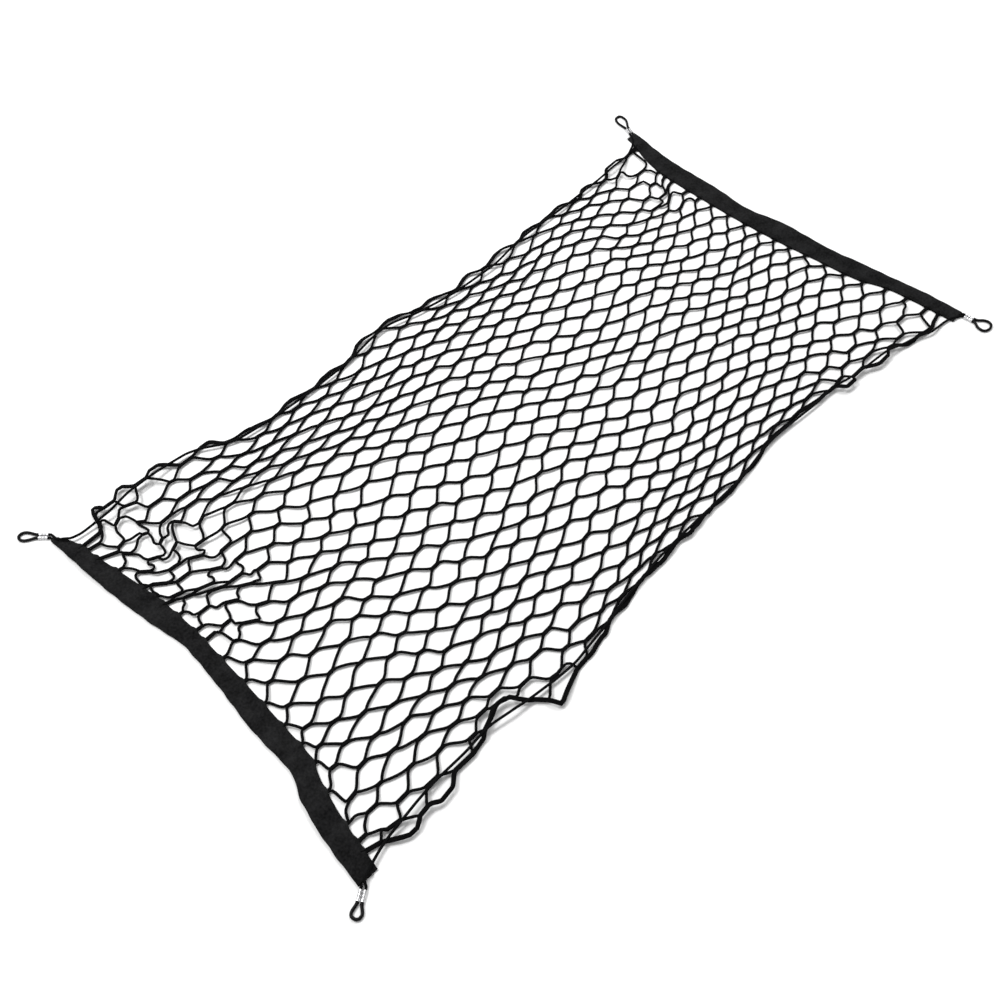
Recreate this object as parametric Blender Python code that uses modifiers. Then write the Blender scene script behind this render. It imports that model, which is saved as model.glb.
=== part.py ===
"""Cargo net, lying loose on a floor: an elastic hexagonal mesh between two folded fabric sleeves.

An edge cord runs along each long side from corner to corner, and a sleeve cord inside each sleeve.
At every corner two crimped barrels join the two cords to the ends of a coated loop to hook on to.

Units are metres, +Z is up and the floor is Z = 0. X runs along the net, from sleeve to sleeve.
"""

import math
from collections import namedtuple

import bmesh
import bpy
import numpy as np
from mathutils import Matrix, Vector

MM = 0.001

# ---- driving dimensions -------------------------------------------------------------------------

MESHES_LONG = 22  # hexagonal meshes between the sleeves, half a mesh apart from row to row
STRANDS = 26  # zigzag strands side by side across the net
TABLE_MESHES = 33  # mesh columns that NET_SECTIONS counts from the left sleeve
JOIN_SHARE = 0.40  # share of a mesh column over which two strands are joined side by side
NET_CORD = 2.6 * MM
UNEVEN = 1.6 * MM  # how far a join may lie from its even place

LAYER = 1.0 * MM  # sleeve fabric
POCKET = 3.7 * MM  # clear height between the sleeve's two layers
TUCK = 6.0 * MM  # how far the net's ends reach into the sleeves
SLEEVE_STEPS = 26  # stations along a sleeve
FOLD_STEPS = 4  # facets around the sleeve's outer fold
SLEEVE_CORD = 2.6 * MM
SLEEVE_CORD_INSET = 5.4 * MM  # from the sleeve's outer edge to the middle of its cord
EDGE_CORD = 2.8 * MM
EDGE_CORD_STEP = 22.0 * MM
SLEEVE_CORD_STEPS = 24
CLEAR_FOLDS = 1.4 * MM  # extra height of an edge cord over the net, which is folded there
NEAR_BARREL = (0.0, 3 * MM, 6 * MM, 10 * MM, 14 * MM, 19 * MM, 25 * MM, 33 * MM)
MOUTH = 2.5 * MM  # a cord's straight end before its barrel
GAP = 0.35 * MM  # between pieces that touch

BARREL = 4.3 * MM
BARREL_WAIST = 3.9 * MM  # where the barrel is pressed on to its cords
BARREL_SPREAD = 2.5 * MM  # from the middle of a corner to the middle of each of its barrels
BARREL_LENGTH = 12.0 * MM
BARREL_SIDES = 12
LOOP_CORD = 3.7 * MM  # coated cord of a corner loop
LOOP_STEPS = 20

# The middle of the box around the four loop tips, in the plan that the tables below use.
PLAN_CENTRE = (-3.1 * MM, 7.1 * MM)

# ---- the net as it lies: plan positions in millimetres -------------------------------------------

# A row for each measured mesh column. x_low, x_mid and x_high are where the column crosses 10, 50
# and 90 percent of the strands; y_0 to y_100 are where that percentage of the strands is reached.
SHARES_X = (0.1, 0.5, 0.9)
SHARES_Y = (0.0, 0.1, 0.25, 0.5, 0.75, 0.9, 1.0)
NetSection = namedtuple(
    "NetSection", "mesh x_low x_mid x_high y_0 y_10 y_25 y_50 y_75 y_90 y_100"
)
NET_SECTIONS = (
    NetSection(0, -521, -498, -522, -284, -250, -125, 45, 190, 250, 273),
    NetSection(1, -496, -479, -492, -292, -247, -152, 20, 150, 239, 300),
    NetSection(4, -400, -388, -428, -284, -237, -158, 1, 148, 240, 302),
    NetSection(7, -305, -300, -331, -274, -243, -165, -5, 167, 233, 288),
    NetSection(9, -243, -241, -266, -305, -247, -165, -7, 162, 225, 267),
    NetSection(12, -150, -152, -166, -280, -243, -162, -6, 155, 226, 268),
    NetSection(16, -13, -24, -31, -262, -232, -158, 1, 152, 231, 285),
    NetSection(20, 113, 98, 98, -260, -225, -158, -6, 148, 226, 263),
    NetSection(23, 217, 197, 198, -249, -217, -147, -7, 146, 222, 269),
    NetSection(26, 316, 299, 302, -253, -218, -141, 1, 151, 234, 276),
    NetSection(29, 399, 382, 393, -267, -226, -138, -2, 140, 226, 277),
    NetSection(31, 460, 444, 456, -281, -230, -133, 0, 142, 221, 284),
    NetSection(33, 533, 502, 514, -280, -235, -140, 5, 150, 228, 280),
)

# Where the mesh is lifted off the floor or shoved together: a soft bump around (x, y).
Fold = namedtuple("Fold", "x y reach_x reach_y push_x push_y lift")
FOLDS = (
    Fold(-455, 285, 60, 22, 0, 0, 11),
    Fold(-455, 200, 34, 26, 10, -6, 9),
    Fold(-480, 105, 30, 22, 6, 8, 7),
    Fold(-395, 165, 42, 26, -6, 4, 5),
    Fold(-445, -285, 60, 16, 0, 0, 8),
    Fold(-262, -298, 26, 18, -8, -4, 8),
    Fold(-330, 185, 60, 14, 0, 4, 4),
    Fold(20, -262, 70, 12, 0, 0, 3),
    Fold(360, -262, 60, 14, 0, 0, 7),
    Fold(-60, 281, 50, 10, 0, 0, 4),
    Fold(200, 262, 60, 12, 0, 0, 4),
    Fold(470, 178, 26, 20, -8, -6, 8),
    Fold(470, 262, 40, 20, 0, 0, 9),
    Fold(500, -215, 26, 40, 0, 0, 8),
)

# The sleeves' outlines from the low end to the high end.
SleeveRow = namedtuple("SleeveRow", "y x_outer x_inner")
LEFT_SLEEVE = (
    SleeveRow(-299, -554, -528),
    SleeveRow(-240, -549, -521),
    SleeveRow(-190, -540, -511),
    SleeveRow(-150, -527, -500),
    SleeveRow(-90, -528, -499),
    SleeveRow(-20, -523, -498),
    SleeveRow(50, -520, -498),
    SleeveRow(106, -530, -501),
    SleeveRow(161, -539, -509),
    SleeveRow(228, -547, -522),
    SleeveRow(280, -551, -532),
    SleeveRow(303, -553, -538),
)
RIGHT_SLEEVE = (
    SleeveRow(-299, 558, 535),
    SleeveRow(-250, 557, 533),
    SleeveRow(-200, 552, 529),
    SleeveRow(-150, 546, 513),
    SleeveRow(-90, 540, 508),
    SleeveRow(-15, 541, 502),
    SleeveRow(60, 530, 500),
    SleeveRow(120, 536, 501),
    SleeveRow(200, 539, 505),
    SleeveRow(245, 545, 517),
    SleeveRow(290, 553, 533),
    SleeveRow(306, 554, 537),
)

# Puckers across a sleeve's upper layer, as soft ridges.
Pucker = namedtuple("Pucker", "y reach height")
LEFT_PUCKERS = (
    Pucker(-236, 9, 1.6),
    Pucker(-152, 7, 2.2),
    Pucker(-60, 14, 0.9),
    Pucker(44, 10, 1.2),
    Pucker(140, 12, 1.0),
    Pucker(262, 9, 1.8),
)
RIGHT_PUCKERS = (
    Pucker(-206, 8, 1.8),
    Pucker(-118, 13, 1.2),
    Pucker(-14, 8, 2.0),
    Pucker(96, 12, 1.1),
    Pucker(205, 10, 1.6),
    Pucker(282, 8, 1.4),
)

# Edge cords, from the left corner to the right one, and what each point of them lies on or in.
RoutePoint = namedtuple("RoutePoint", "x y lies")
HIGH_EDGE_ROUTE = (
    RoutePoint(-543, 301, "pocket"),
    RoutePoint(-536, 293, "pocket"),
    RoutePoint(-526, 290, "pocket"),
    RoutePoint(-500, 289, "net"),
    RoutePoint(-440, 297, "net"),
    RoutePoint(-380, 296, "net"),
    RoutePoint(-330, 283, "net"),
    RoutePoint(-285, 264, "net"),
    RoutePoint(-200, 258, "net"),
    RoutePoint(-110, 262, "net"),
    RoutePoint(-20, 276, "net"),
    RoutePoint(40, 262, "net"),
    RoutePoint(110, 254, "net"),
    RoutePoint(170, 254, "net"),
    RoutePoint(250, 266, "net"),
    RoutePoint(340, 268, "net"),
    RoutePoint(430, 276, "net"),
    RoutePoint(495, 284, "net"),
    RoutePoint(528, 292, "pocket"),
    RoutePoint(537, 295, "pocket"),
    RoutePoint(543, 302, "pocket"),
)
LOW_EDGE_ROUTE = (
    RoutePoint(-544, -302, "sleeve"),
    RoutePoint(-535, -296, "sleeve"),
    RoutePoint(-517, -288, "sleeve"),
    RoutePoint(-485, -280, "net"),
    RoutePoint(-430, -272, "net"),
    RoutePoint(-340, -268, "net"),
    RoutePoint(-270, -278, "net"),
    RoutePoint(-200, -283, "net"),
    RoutePoint(-120, -269, "net"),
    RoutePoint(-20, -258, "net"),
    RoutePoint(110, -256, "net"),
    RoutePoint(200, -246, "net"),
    RoutePoint(310, -248, "net"),
    RoutePoint(400, -261, "net"),
    RoutePoint(495, -282, "net"),
    RoutePoint(526, -290, "pocket"),
    RoutePoint(540, -291, "pocket"),
    RoutePoint(547, -297, "pocket"),
)

# Corners: the middle between the barrels' inner ends, the loop's tip and the loop's outer width.
# sleeve_side is 1 where the sleeve cord's barrel lies to the left of the way out, and -1 otherwise.
Corner = namedtuple("Corner", "name x y tip_x tip_y loop_width sleeve_side")
CORNERS = (
    Corner("left_high", -551, 309, -579.5, 337.5, 16, 1),
    Corner("left_low", -552.5, -304.5, -578.5, -322, 15, -1),
    Corner("right_low", 554, -305, 557, -345, 24, 1),
    Corner("right_high", 550, 311, 570.5, 359, 19, -1),
)

PIECE_LOOKS = {
    "net": ((0.012, 0.012, 0.013), 0.82, 0.0),
    "sleeve": ((0.016, 0.016, 0.017), 0.9, 0.0),
    "edge_cord": ((0.010, 0.010, 0.011), 0.75, 0.0),
    "sleeve_cord": ((0.010, 0.010, 0.011), 0.75, 0.0),
    "barrel": ((0.62, 0.62, 0.63), 0.32, 1.0),
    "loop": ((0.008, 0.008, 0.009), 0.28, 0.0),
}


# ---- curves through the tables -------------------------------------------------------------------


def through(stations, values, at):
    """The height at each place of one smooth curve through the given rows, never past a row."""
    stations = np.asarray(stations, float)
    values = np.asarray(values, float)
    steep = np.diff(values) / np.diff(stations)
    agree = steep[:-1] * steep[1:] > 0
    both = np.where(agree, steep[:-1] + steep[1:], 1.0)
    slopes = np.concatenate([steep[:1], np.where(agree, 2 * steep[:-1] * steep[1:] / both, 0), steep[-1:]])
    row = np.clip(np.searchsorted(stations, at) - 1, 0, len(stations) - 2)
    span = stations[row + 1] - stations[row]
    part = np.clip((at - stations[row]) / span, -0.2, 1.2)
    rise = part * part * (3 - 2 * part)
    leave = part * (1 - part) ** 2
    arrive = part * part * (part - 1)
    bend = leave * slopes[row] + arrive * slopes[row + 1]
    return values[row] * (1 - rise) + values[row + 1] * rise + bend * span


def sleeve_x(rows, y, column):
    """Plan x of a sleeve's edge, in millimetres, at the plan y."""
    return through([r.y for r in rows], [getattr(r, column) for r in rows], np.asarray(y, float))


def at_plan(x, y, z):
    """The point in metres that lies at plan (x, y), in millimetres, and height z, in metres."""
    return Vector((x * MM - PLAN_CENTRE[0], y * MM - PLAN_CENTRE[1], z))


def from_sleeve(x, y):
    """Millimetres from a plan point to the nearer sleeve's inner edge."""
    left = x - sleeve_x(LEFT_SLEEVE, y, "x_inner")
    right = sleeve_x(RIGHT_SLEEVE, y, "x_inner") - x
    return np.minimum(left, right)


def fold_height(x, y):
    """How far the mesh is lifted off the floor at plan (x, y), in metres."""
    lift = np.zeros(np.shape(x))
    for fold in FOLDS:
        away = ((x - fold.x) / fold.reach_x) ** 2 + ((y - fold.y) / fold.reach_y) ** 2
        lift = lift + fold.lift * np.exp(-away)
    free = np.clip((from_sleeve(x, y) - 14) / 40, 0, 1)
    return lift * free * free * (3 - 2 * free) * MM


def net_height(x, y):
    """Middle of the net cord at plan (x, y): on the floor, and rising into the sleeves' pockets."""
    pocket_middle = LAYER + POCKET / 2
    free = np.clip((from_sleeve(x, y) - 14) / 30, 0, 1)
    return pocket_middle + (NET_CORD / 2 - pocket_middle) * free + fold_height(x, y)


def net_plan():
    """Plan x and y of every join place, by mesh column and by strand boundary."""
    meshes = np.arange(MESHES_LONG + 1) * TABLE_MESHES / MESHES_LONG
    shares = np.arange(STRANDS + 1) / STRANDS
    table_x = []
    table_y = []
    for row in NET_SECTIONS:
        table_x.append(through(SHARES_X, (row.x_low, row.x_mid, row.x_high), shares))
        table_y.append(through(SHARES_Y, row[4:], shares))
    table_x, table_y = np.array(table_x), np.array(table_y)
    stations = [row.mesh for row in NET_SECTIONS]
    plan_x = np.empty((len(meshes), len(shares)))
    plan_y = np.empty_like(plan_x)
    for strand in range(len(shares)):
        plan_x[:, strand] = through(stations, table_x[:, strand], meshes)
        plan_y[:, strand] = through(stations, table_y[:, strand], meshes)
    push_x, push_y = np.zeros_like(plan_x), np.zeros_like(plan_y)
    for fold in FOLDS:
        away = ((plan_x - fold.x) / fold.reach_x) ** 2 + ((plan_y - fold.y) / fold.reach_y) ** 2
        push_x += fold.push_x * np.exp(-away)
        push_y += fold.push_y * np.exp(-away)
    chance = np.random.default_rng(11)
    inner = np.zeros_like(plan_x)
    inner[1:-1, 1:-1] = UNEVEN / MM
    plan_x += push_x + inner * chance.uniform(-1, 1, inner.shape)
    plan_y += push_y + inner * chance.uniform(-0.7, 0.7, inner.shape)
    plan_x[0] = sleeve_x(LEFT_SLEEVE, plan_y[0], "x_inner")
    plan_x[-1] = sleeve_x(RIGHT_SLEEVE, plan_y[-1], "x_inner")
    return plan_x, plan_y


# ---- tools ---------------------------------------------------------------------------------------


def clear_scene():
    for old in list(bpy.data.objects):
        bpy.data.objects.remove(old, do_unlink=True)


def finish_of(kind):
    material = bpy.data.materials.get(kind)
    if material:
        return material
    colour, roughness, metallic = PIECE_LOOKS[kind]
    material = bpy.data.materials.new(kind)
    material.use_nodes = True
    shader = material.node_tree.nodes["Principled BSDF"]
    shader.inputs["Base Color"].default_value = (*colour, 1.0)
    shader.inputs["Roughness"].default_value = roughness
    shader.inputs["Metallic"].default_value = metallic
    return material


def add_piece(name, data, kind, collection):
    data.materials.append(finish_of(kind))
    piece = bpy.data.objects.new(name, data)
    collection.objects.link(piece)
    return piece


def evened(points, count, near_ends=(0.0,)):
    """The same route as a smooth curve, read evenly and, within the last of near_ends, at each."""
    points = np.array([tuple(p) for p in points])
    walked = np.concatenate([[0], np.cumsum(np.linalg.norm(np.diff(points, axis=0), axis=1))])
    fine = np.linspace(0, walked[-1], count * 8)
    dense = np.stack([through(walked, points[:, axis], fine) for axis in range(3)], axis=1)
    dense_walked = np.concatenate([[0], np.cumsum(np.linalg.norm(np.diff(dense, axis=0), axis=1))])
    total, close = dense_walked[-1], np.array(near_ends)
    even = np.linspace(close[-1], total - close[-1], count)
    even = np.concatenate([close[:-1], even, total - close[-2::-1]]) if len(close) > 1 else even
    return np.stack([np.interp(even, dense_walked, dense[:, axis]) for axis in range(3)], axis=1)


def tube(name, points, diameter, kind, collection):
    """A round cord along the points, with closed ends."""
    curve = bpy.data.curves.new(name, "CURVE")
    curve.dimensions = "3D"
    curve.bevel_depth = diameter / 2
    curve.bevel_resolution = 2
    curve.use_fill_caps = True
    spline = curve.splines.new("POLY")
    spline.points.add(len(points) - 1)
    for target, point in zip(spline.points, points):
        target.co = (*point, 1.0)
    spline.use_smooth = True
    return add_piece(name, curve, kind, collection)


# ---- pieces --------------------------------------------------------------------------------------


def make_net(collection):
    """One mesh of hexagons: a grid whose every second cross edge is dissolved, then wired.

    Grid line n holds the right ends of the joins of mesh column n - 1 and, between them, the left
    ends of those of column n. The first and last lines lie inside the sleeves.
    """
    plan_x, plan_y = net_plan()
    lines = MESHES_LONG + 2
    mesh = bmesh.new()
    bmesh.ops.create_grid(mesh, x_segments=lines - 1, y_segments=STRANDS, size=0.5)
    mesh.verts.ensure_lookup_table()
    grid_of = {}
    for vert in mesh.verts:
        line = round((vert.co.x + 0.5) * (lines - 1))
        boundary = round((vert.co.y + 0.5) * STRANDS)
        grid_of[vert] = (line, boundary)
    for vert, (line, boundary) in grid_of.items():
        if line == 0 or line == lines - 1:
            column = 0 if line == 0 else MESHES_LONG
            side = -1 if line == 0 else 1
            x = plan_x[column, boundary] + side * TUCK / MM
            y = plan_y[column, boundary]
        else:
            column, side = (line - 1, 1) if (line - boundary) % 2 == 0 else (line, -1)
            before, after = max(column - 1, 0), min(column + 1, MESHES_LONG)
            half_join = JOIN_SHARE / (after - before) / 2 * side
            x = plan_x[column, boundary]
            y = plan_y[column, boundary]
            x += (plan_x[after, boundary] - plan_x[before, boundary]) * half_join
            y += (plan_y[after, boundary] - plan_y[before, boundary]) * half_join
        vert.co = at_plan(x, y, float(net_height(x, y)))
    crossings = []
    for edge in mesh.edges:
        (line, boundary), (other_line, other_boundary) = (grid_of[v] for v in edge.verts)
        if boundary == other_boundary and (min(line, other_line) - boundary) % 2 == 0:
            crossings.append(edge)
    outer = [e for e in crossings if e.is_boundary]
    outer_cells = [face for edge in outer for face in edge.link_faces]
    bmesh.ops.delete(mesh, geom=list(set(outer_cells)), context="FACES")
    inner = [e for e in crossings if e.is_valid and len(e.link_faces) == 2]
    bmesh.ops.dissolve_edges(mesh, edges=inner, use_verts=False)
    loose = [v for v in mesh.verts if not v.link_faces]
    bmesh.ops.delete(mesh, geom=loose, context="VERTS")
    bmesh.ops.recalc_face_normals(mesh, faces=mesh.faces[:])
    data = bpy.data.meshes.new("net")
    mesh.to_mesh(data)
    mesh.free()
    net = add_piece("net", data, "net", collection)
    wire = net.modifiers.new("cords", "WIREFRAME")
    wire.thickness = NET_CORD
    wire.offset = 0.0
    wire.use_replace = True
    wire.use_even_offset = False
    wire.use_boundary = True
    return net


def make_sleeve(name, rows, puckers, side, collection):
    """A strip of fabric folded over lengthwise: lower layer, outer fold, upper layer."""
    ys = np.linspace(rows[0].y, rows[-1].y, SLEEVE_STEPS)
    outer = sleeve_x(rows, ys, "x_outer")
    inner = sleeve_x(rows, ys, "x_inner")
    low, high = LAYER / 2, LAYER * 1.5 + POCKET
    radius = (high - low) / 2
    # Each point of the section: its share of the flat width, its angle round the fold, or neither.
    flat_shares = (1.0, 0.5, 0.0)
    section = [("low", share) for share in flat_shares]
    section += [("fold", step / FOLD_STEPS) for step in range(1, FOLD_STEPS)]
    section += [("high", share) for share in (0.0, 0.35, 0.7, 1.0)]
    mesh = bmesh.new()
    bmesh.ops.create_grid(mesh, x_segments=len(section) - 1, y_segments=SLEEVE_STEPS - 1, size=0.5)
    for vert in mesh.verts:
        place = round((vert.co.x + 0.5) * (len(section) - 1))
        station = round((vert.co.y + 0.5) * (SLEEVE_STEPS - 1))
        layer, share = section[place]
        y = ys[station]
        fold_x = outer[station] + side * (radius + LAYER / 2) / MM
        ridge = sum(p.height * math.exp(-(((y - p.y) / p.reach) ** 2)) for p in puckers)
        if layer == "fold":
            turn = math.pi * share
            x = fold_x - side * math.sin(turn) * radius / MM
            z = (low + high) / 2 - math.cos(turn) * radius
        elif layer == "low":
            x = fold_x + (inner[station] - fold_x) * share
            z = low
        else:
            x = fold_x + (inner[station] - fold_x) * share
            z = high + ridge * MM * math.sin(math.pi * min(share + 0.15, 1.0))
        vert.co = at_plan(x, y, z)
    bmesh.ops.recalc_face_normals(mesh, faces=mesh.faces[:])
    data = bpy.data.meshes.new(name)
    mesh.to_mesh(data)
    mesh.free()
    sleeve = add_piece(name, data, "sleeve", collection)
    cloth = sleeve.modifiers.new("fabric", "SOLIDIFY")
    cloth.thickness = LAYER
    cloth.offset = 0.0
    cloth.use_even_offset = True
    return sleeve


def way_out(corner):
    """A corner's inner end, its tip, the level way from one to the other and that way's left."""
    start = at_plan(corner.x, corner.y, BARREL / 2)
    tip = at_plan(corner.tip_x, corner.tip_y, BARREL / 2)
    out = (tip - start).normalized()
    return start, tip, out, Vector((-out.y, out.x, 0.0))


def barrel_mouth(corner, side, back):
    """A point on the line of one of a corner's barrels, that far before the barrel's gap."""
    start, _, out, left = way_out(corner)
    return start - out * back + left * (side * BARREL_SPREAD)


def make_barrel(name, corner, side, collection):
    """A pressed tube with its cords in it: a turned profile, lying on its side."""
    flare, waist = BARREL / 2, BARREL_WAIST / 2
    profile = (
        (0.0, 0.5),
        (flare - 0.3 * MM, 0.5),
        (flare, 0.46),
        (flare, 0.30),
        (waist, 0.18),
        (waist, -0.18),
        (flare, -0.30),
        (flare, -0.46),
        (flare - 0.3 * MM, -0.5),
        (0.0, -0.5),
    )
    mesh = bmesh.new()
    verts = [mesh.verts.new((radius, 0.0, BARREL_LENGTH * along)) for radius, along in profile]
    for first, second in zip(verts, verts[1:]):
        mesh.edges.new((first, second))
    data = bpy.data.meshes.new(name)
    mesh.to_mesh(data)
    mesh.free()
    barrel = add_piece(name, data, "barrel", collection)
    turned = barrel.modifiers.new("turned", "SCREW")
    turned.steps = BARREL_SIDES
    turned.render_steps = BARREL_SIDES
    turned.use_merge_vertices = True
    turned.merge_threshold = 0.00002
    _, _, out, left = way_out(corner)
    middle = barrel_mouth(corner, side, -(BARREL_LENGTH / 2 + GAP))
    lying = Matrix((left, Vector((0.0, 0.0, 1.0)), -out)).transposed().to_4x4()
    barrel.matrix_world = Matrix.Translation(middle) @ lying
    return barrel


def make_loop(corner, collection):
    """A drop-shaped loop of coated cord whose two ends meet the barrels' outer faces."""
    _, tip, out, left = way_out(corner)
    roots = [barrel_mouth(corner, side, -(BARREL_LENGTH + 2 * GAP)) for side in (1, -1)]
    root = (roots[0] + roots[1]) / 2
    length = (tip - root).length - LOOP_CORD / 2
    wide = (corner.loop_width * MM - LOOP_CORD) / 2
    drop = Vector((0.0, 0.0, LOOP_CORD / 2 - BARREL / 2))
    # Shares of the length and of the half width, and of the way down to the floor.
    shape = (
        (0.07, BARREL_SPREAD / wide, 0.0),
        (0.20, BARREL_SPREAD / wide + 0.1, 0.4),
        (0.45, 0.84, 1.0),
        (0.70, 1.0, 1.0),
        (0.91, 0.72, 1.0),
        (1.0, 0.0, 1.0),
    )
    half = [root + out * (length * s) + left * (wide * w) + drop * d for s, w, d in shape]
    other = [root + out * (length * s) - left * (wide * w) + drop * d for s, w, d in shape[-2::-1]]
    points = [roots[0], *evened(half + other, LOOP_STEPS), roots[1]]
    return tube("loop_" + corner.name, points, LOOP_CORD, "loop", collection)


def between_mouths(first, points, last, count):
    """A cord's whole way: square to the barrels at both ends, and closely read near them."""
    return [first, *evened(points, count, NEAR_BARREL), last]


def make_sleeve_cord(name, rows, side, low_corner, high_corner, collection):
    """The cord inside a sleeve, from the barrel at one end to the barrel at the other."""
    middle = LAYER + POCKET / 2
    inset = SLEEVE_CORD_INSET / MM * side
    points = [barrel_mouth(low_corner, low_corner.sleeve_side, MOUTH)]
    for row in rows:
        points.append(at_plan(row.x_outer + inset, row.y, middle))
    points.append(barrel_mouth(high_corner, high_corner.sleeve_side, MOUTH))
    first = barrel_mouth(low_corner, low_corner.sleeve_side, 0.0)
    last = barrel_mouth(high_corner, high_corner.sleeve_side, 0.0)
    route = between_mouths(first, points, last, SLEEVE_CORD_STEPS)
    return tube(name, route, SLEEVE_CORD, "sleeve_cord", collection)


def edge_cord_height(step):
    """Height of an edge cord's middle at a point of its route."""
    if step.lies == "pocket":
        return LAYER + POCKET / 2
    if step.lies == "sleeve":
        return 2 * LAYER + POCKET + CLEAR_FOLDS + EDGE_CORD / 2
    net_top = float(net_height(step.x, step.y)) + NET_CORD / 2
    return net_top + GAP + CLEAR_FOLDS + EDGE_CORD / 2


def make_edge_cord(name, route, left_corner, right_corner, collection):
    """A long side's cord: on top of the outermost meshes, past the sleeves' ends, to the barrels."""
    points = [barrel_mouth(left_corner, -left_corner.sleeve_side, MOUTH)]
    points += [at_plan(step.x, step.y, edge_cord_height(step)) for step in route]
    points.append(barrel_mouth(right_corner, -right_corner.sleeve_side, MOUTH))
    length = sum((b - a).length for a, b in zip(points, points[1:]))
    first = barrel_mouth(left_corner, -left_corner.sleeve_side, 0.0)
    last = barrel_mouth(right_corner, -right_corner.sleeve_side, 0.0)
    way = between_mouths(first, points, last, round(length / EDGE_CORD_STEP))
    return tube(name, way, EDGE_CORD, "edge_cord", collection)


def main():
    clear_scene()
    collection = bpy.data.collections.new("cargo_net")
    bpy.context.scene.collection.children.link(collection)
    left_high, left_low, right_low, right_high = CORNERS
    make_net(collection)
    make_sleeve("sleeve_left", LEFT_SLEEVE, LEFT_PUCKERS, 1, collection)
    make_sleeve("sleeve_right", RIGHT_SLEEVE, RIGHT_PUCKERS, -1, collection)
    make_sleeve_cord("sleeve_cord_left", LEFT_SLEEVE, 1, left_low, left_high, collection)
    make_sleeve_cord("sleeve_cord_right", RIGHT_SLEEVE, -1, right_low, right_high, collection)
    make_edge_cord("edge_cord_high", HIGH_EDGE_ROUTE, left_high, right_high, collection)
    make_edge_cord("edge_cord_low", LOW_EDGE_ROUTE, left_low, right_low, collection)
    for corner in CORNERS:
        make_barrel("barrel_sleeve_" + corner.name, corner, corner.sleeve_side, collection)
        make_barrel("barrel_edge_" + corner.name, corner, -corner.sleeve_side, collection)
        make_loop(corner, collection)


main()
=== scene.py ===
"""Cargo net, dressed: elastic mesh, folded end sleeves, cords, pressed barrels and coated loops.

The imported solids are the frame. Every piece that stands for a solid lies where that solid lies.
Plan places, tables and the net's measures without MM are in millimetres. All else is in metres, with
+Z up and the floor at Z = 0. Plan x runs from the left sleeve to the right one, and plan y from the
low edge to the high one.
"""

from __future__ import annotations

import logging
import math
from dataclasses import dataclass, field
from enum import Enum
from typing import Any, Callable, Iterable, Sequence, TypeVar

import bmesh
import bpy
import numpy as np
from mathutils import Matrix, Vector

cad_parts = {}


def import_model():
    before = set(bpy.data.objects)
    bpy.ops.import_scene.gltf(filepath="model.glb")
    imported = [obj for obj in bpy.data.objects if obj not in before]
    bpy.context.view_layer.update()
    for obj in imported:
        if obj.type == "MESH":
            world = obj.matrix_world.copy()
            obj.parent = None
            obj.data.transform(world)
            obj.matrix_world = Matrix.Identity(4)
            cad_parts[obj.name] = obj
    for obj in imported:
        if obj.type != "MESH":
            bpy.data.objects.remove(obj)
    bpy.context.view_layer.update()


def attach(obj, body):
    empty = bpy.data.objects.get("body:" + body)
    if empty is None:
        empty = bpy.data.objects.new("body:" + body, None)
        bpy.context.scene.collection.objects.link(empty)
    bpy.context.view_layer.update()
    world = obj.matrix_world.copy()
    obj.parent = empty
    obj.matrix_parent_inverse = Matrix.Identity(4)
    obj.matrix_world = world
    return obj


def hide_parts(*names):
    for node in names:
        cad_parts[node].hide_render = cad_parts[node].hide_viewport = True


LOG = logging.getLogger("cargo_net")

MM = 0.001
PLAN_CENTRE = (-3.1 * MM, 7.1 * MM)
CAMERA_PLACE = (-0.6386, -0.6621, 1.1132)
Colour = tuple[float, float, float]
Values = dict[Any, Any]
Row = TypeVar("Row")


# ---- shader graphs -------------------------------------------------------------------------------


class Level:
    """A number that changes over the surface: a socket on which arithmetic adds Math nodes."""

    def __init__(self, graph: "Graph", socket: bpy.types.NodeSocket) -> None:
        """Wraps one output.

        Args:
            graph: The graph that the socket belongs to.
            socket: The output that carries the number.
        """
        self.graph = graph
        self.socket = socket

    def _math(self, operation: str, first: Any, second: Any = 0.0) -> "Level":
        """Adds one Math node.

        Args:
            operation: The Math node's operation.
            first: A level or a number.
            second: A level or a number.

        Returns:
            The node's result as a level.
        """
        node = self.graph.node("ShaderNodeMath", {"operation": operation}, {0: first, 1: second})
        return Level(self.graph, node.outputs[0])

    def __add__(self, other: Any) -> "Level":
        """The sum."""
        return self._math("ADD", self, other)

    def __radd__(self, other: Any) -> "Level":
        """The sum, with the number first."""
        return self._math("ADD", other, self)

    def __sub__(self, other: Any) -> "Level":
        """The difference."""
        return self._math("SUBTRACT", self, other)

    def __rsub__(self, other: Any) -> "Level":
        """The difference, with the number first."""
        return self._math("SUBTRACT", other, self)

    def __mul__(self, other: Any) -> "Level":
        """The product."""
        return self._math("MULTIPLY", self, other)

    def __rmul__(self, other: Any) -> "Level":
        """The product, with the number first."""
        return self._math("MULTIPLY", other, self)

    def sine(self) -> "Level":
        """The sine of the level, in radians."""
        return self._math("SINE", self)

    def absolute(self) -> "Level":
        """The level without its sign."""
        return self._math("ABSOLUTE", self)

    def larger(self, other: Any) -> "Level":
        """The larger of the two."""
        return self._math("MAXIMUM", self, other)


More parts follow.
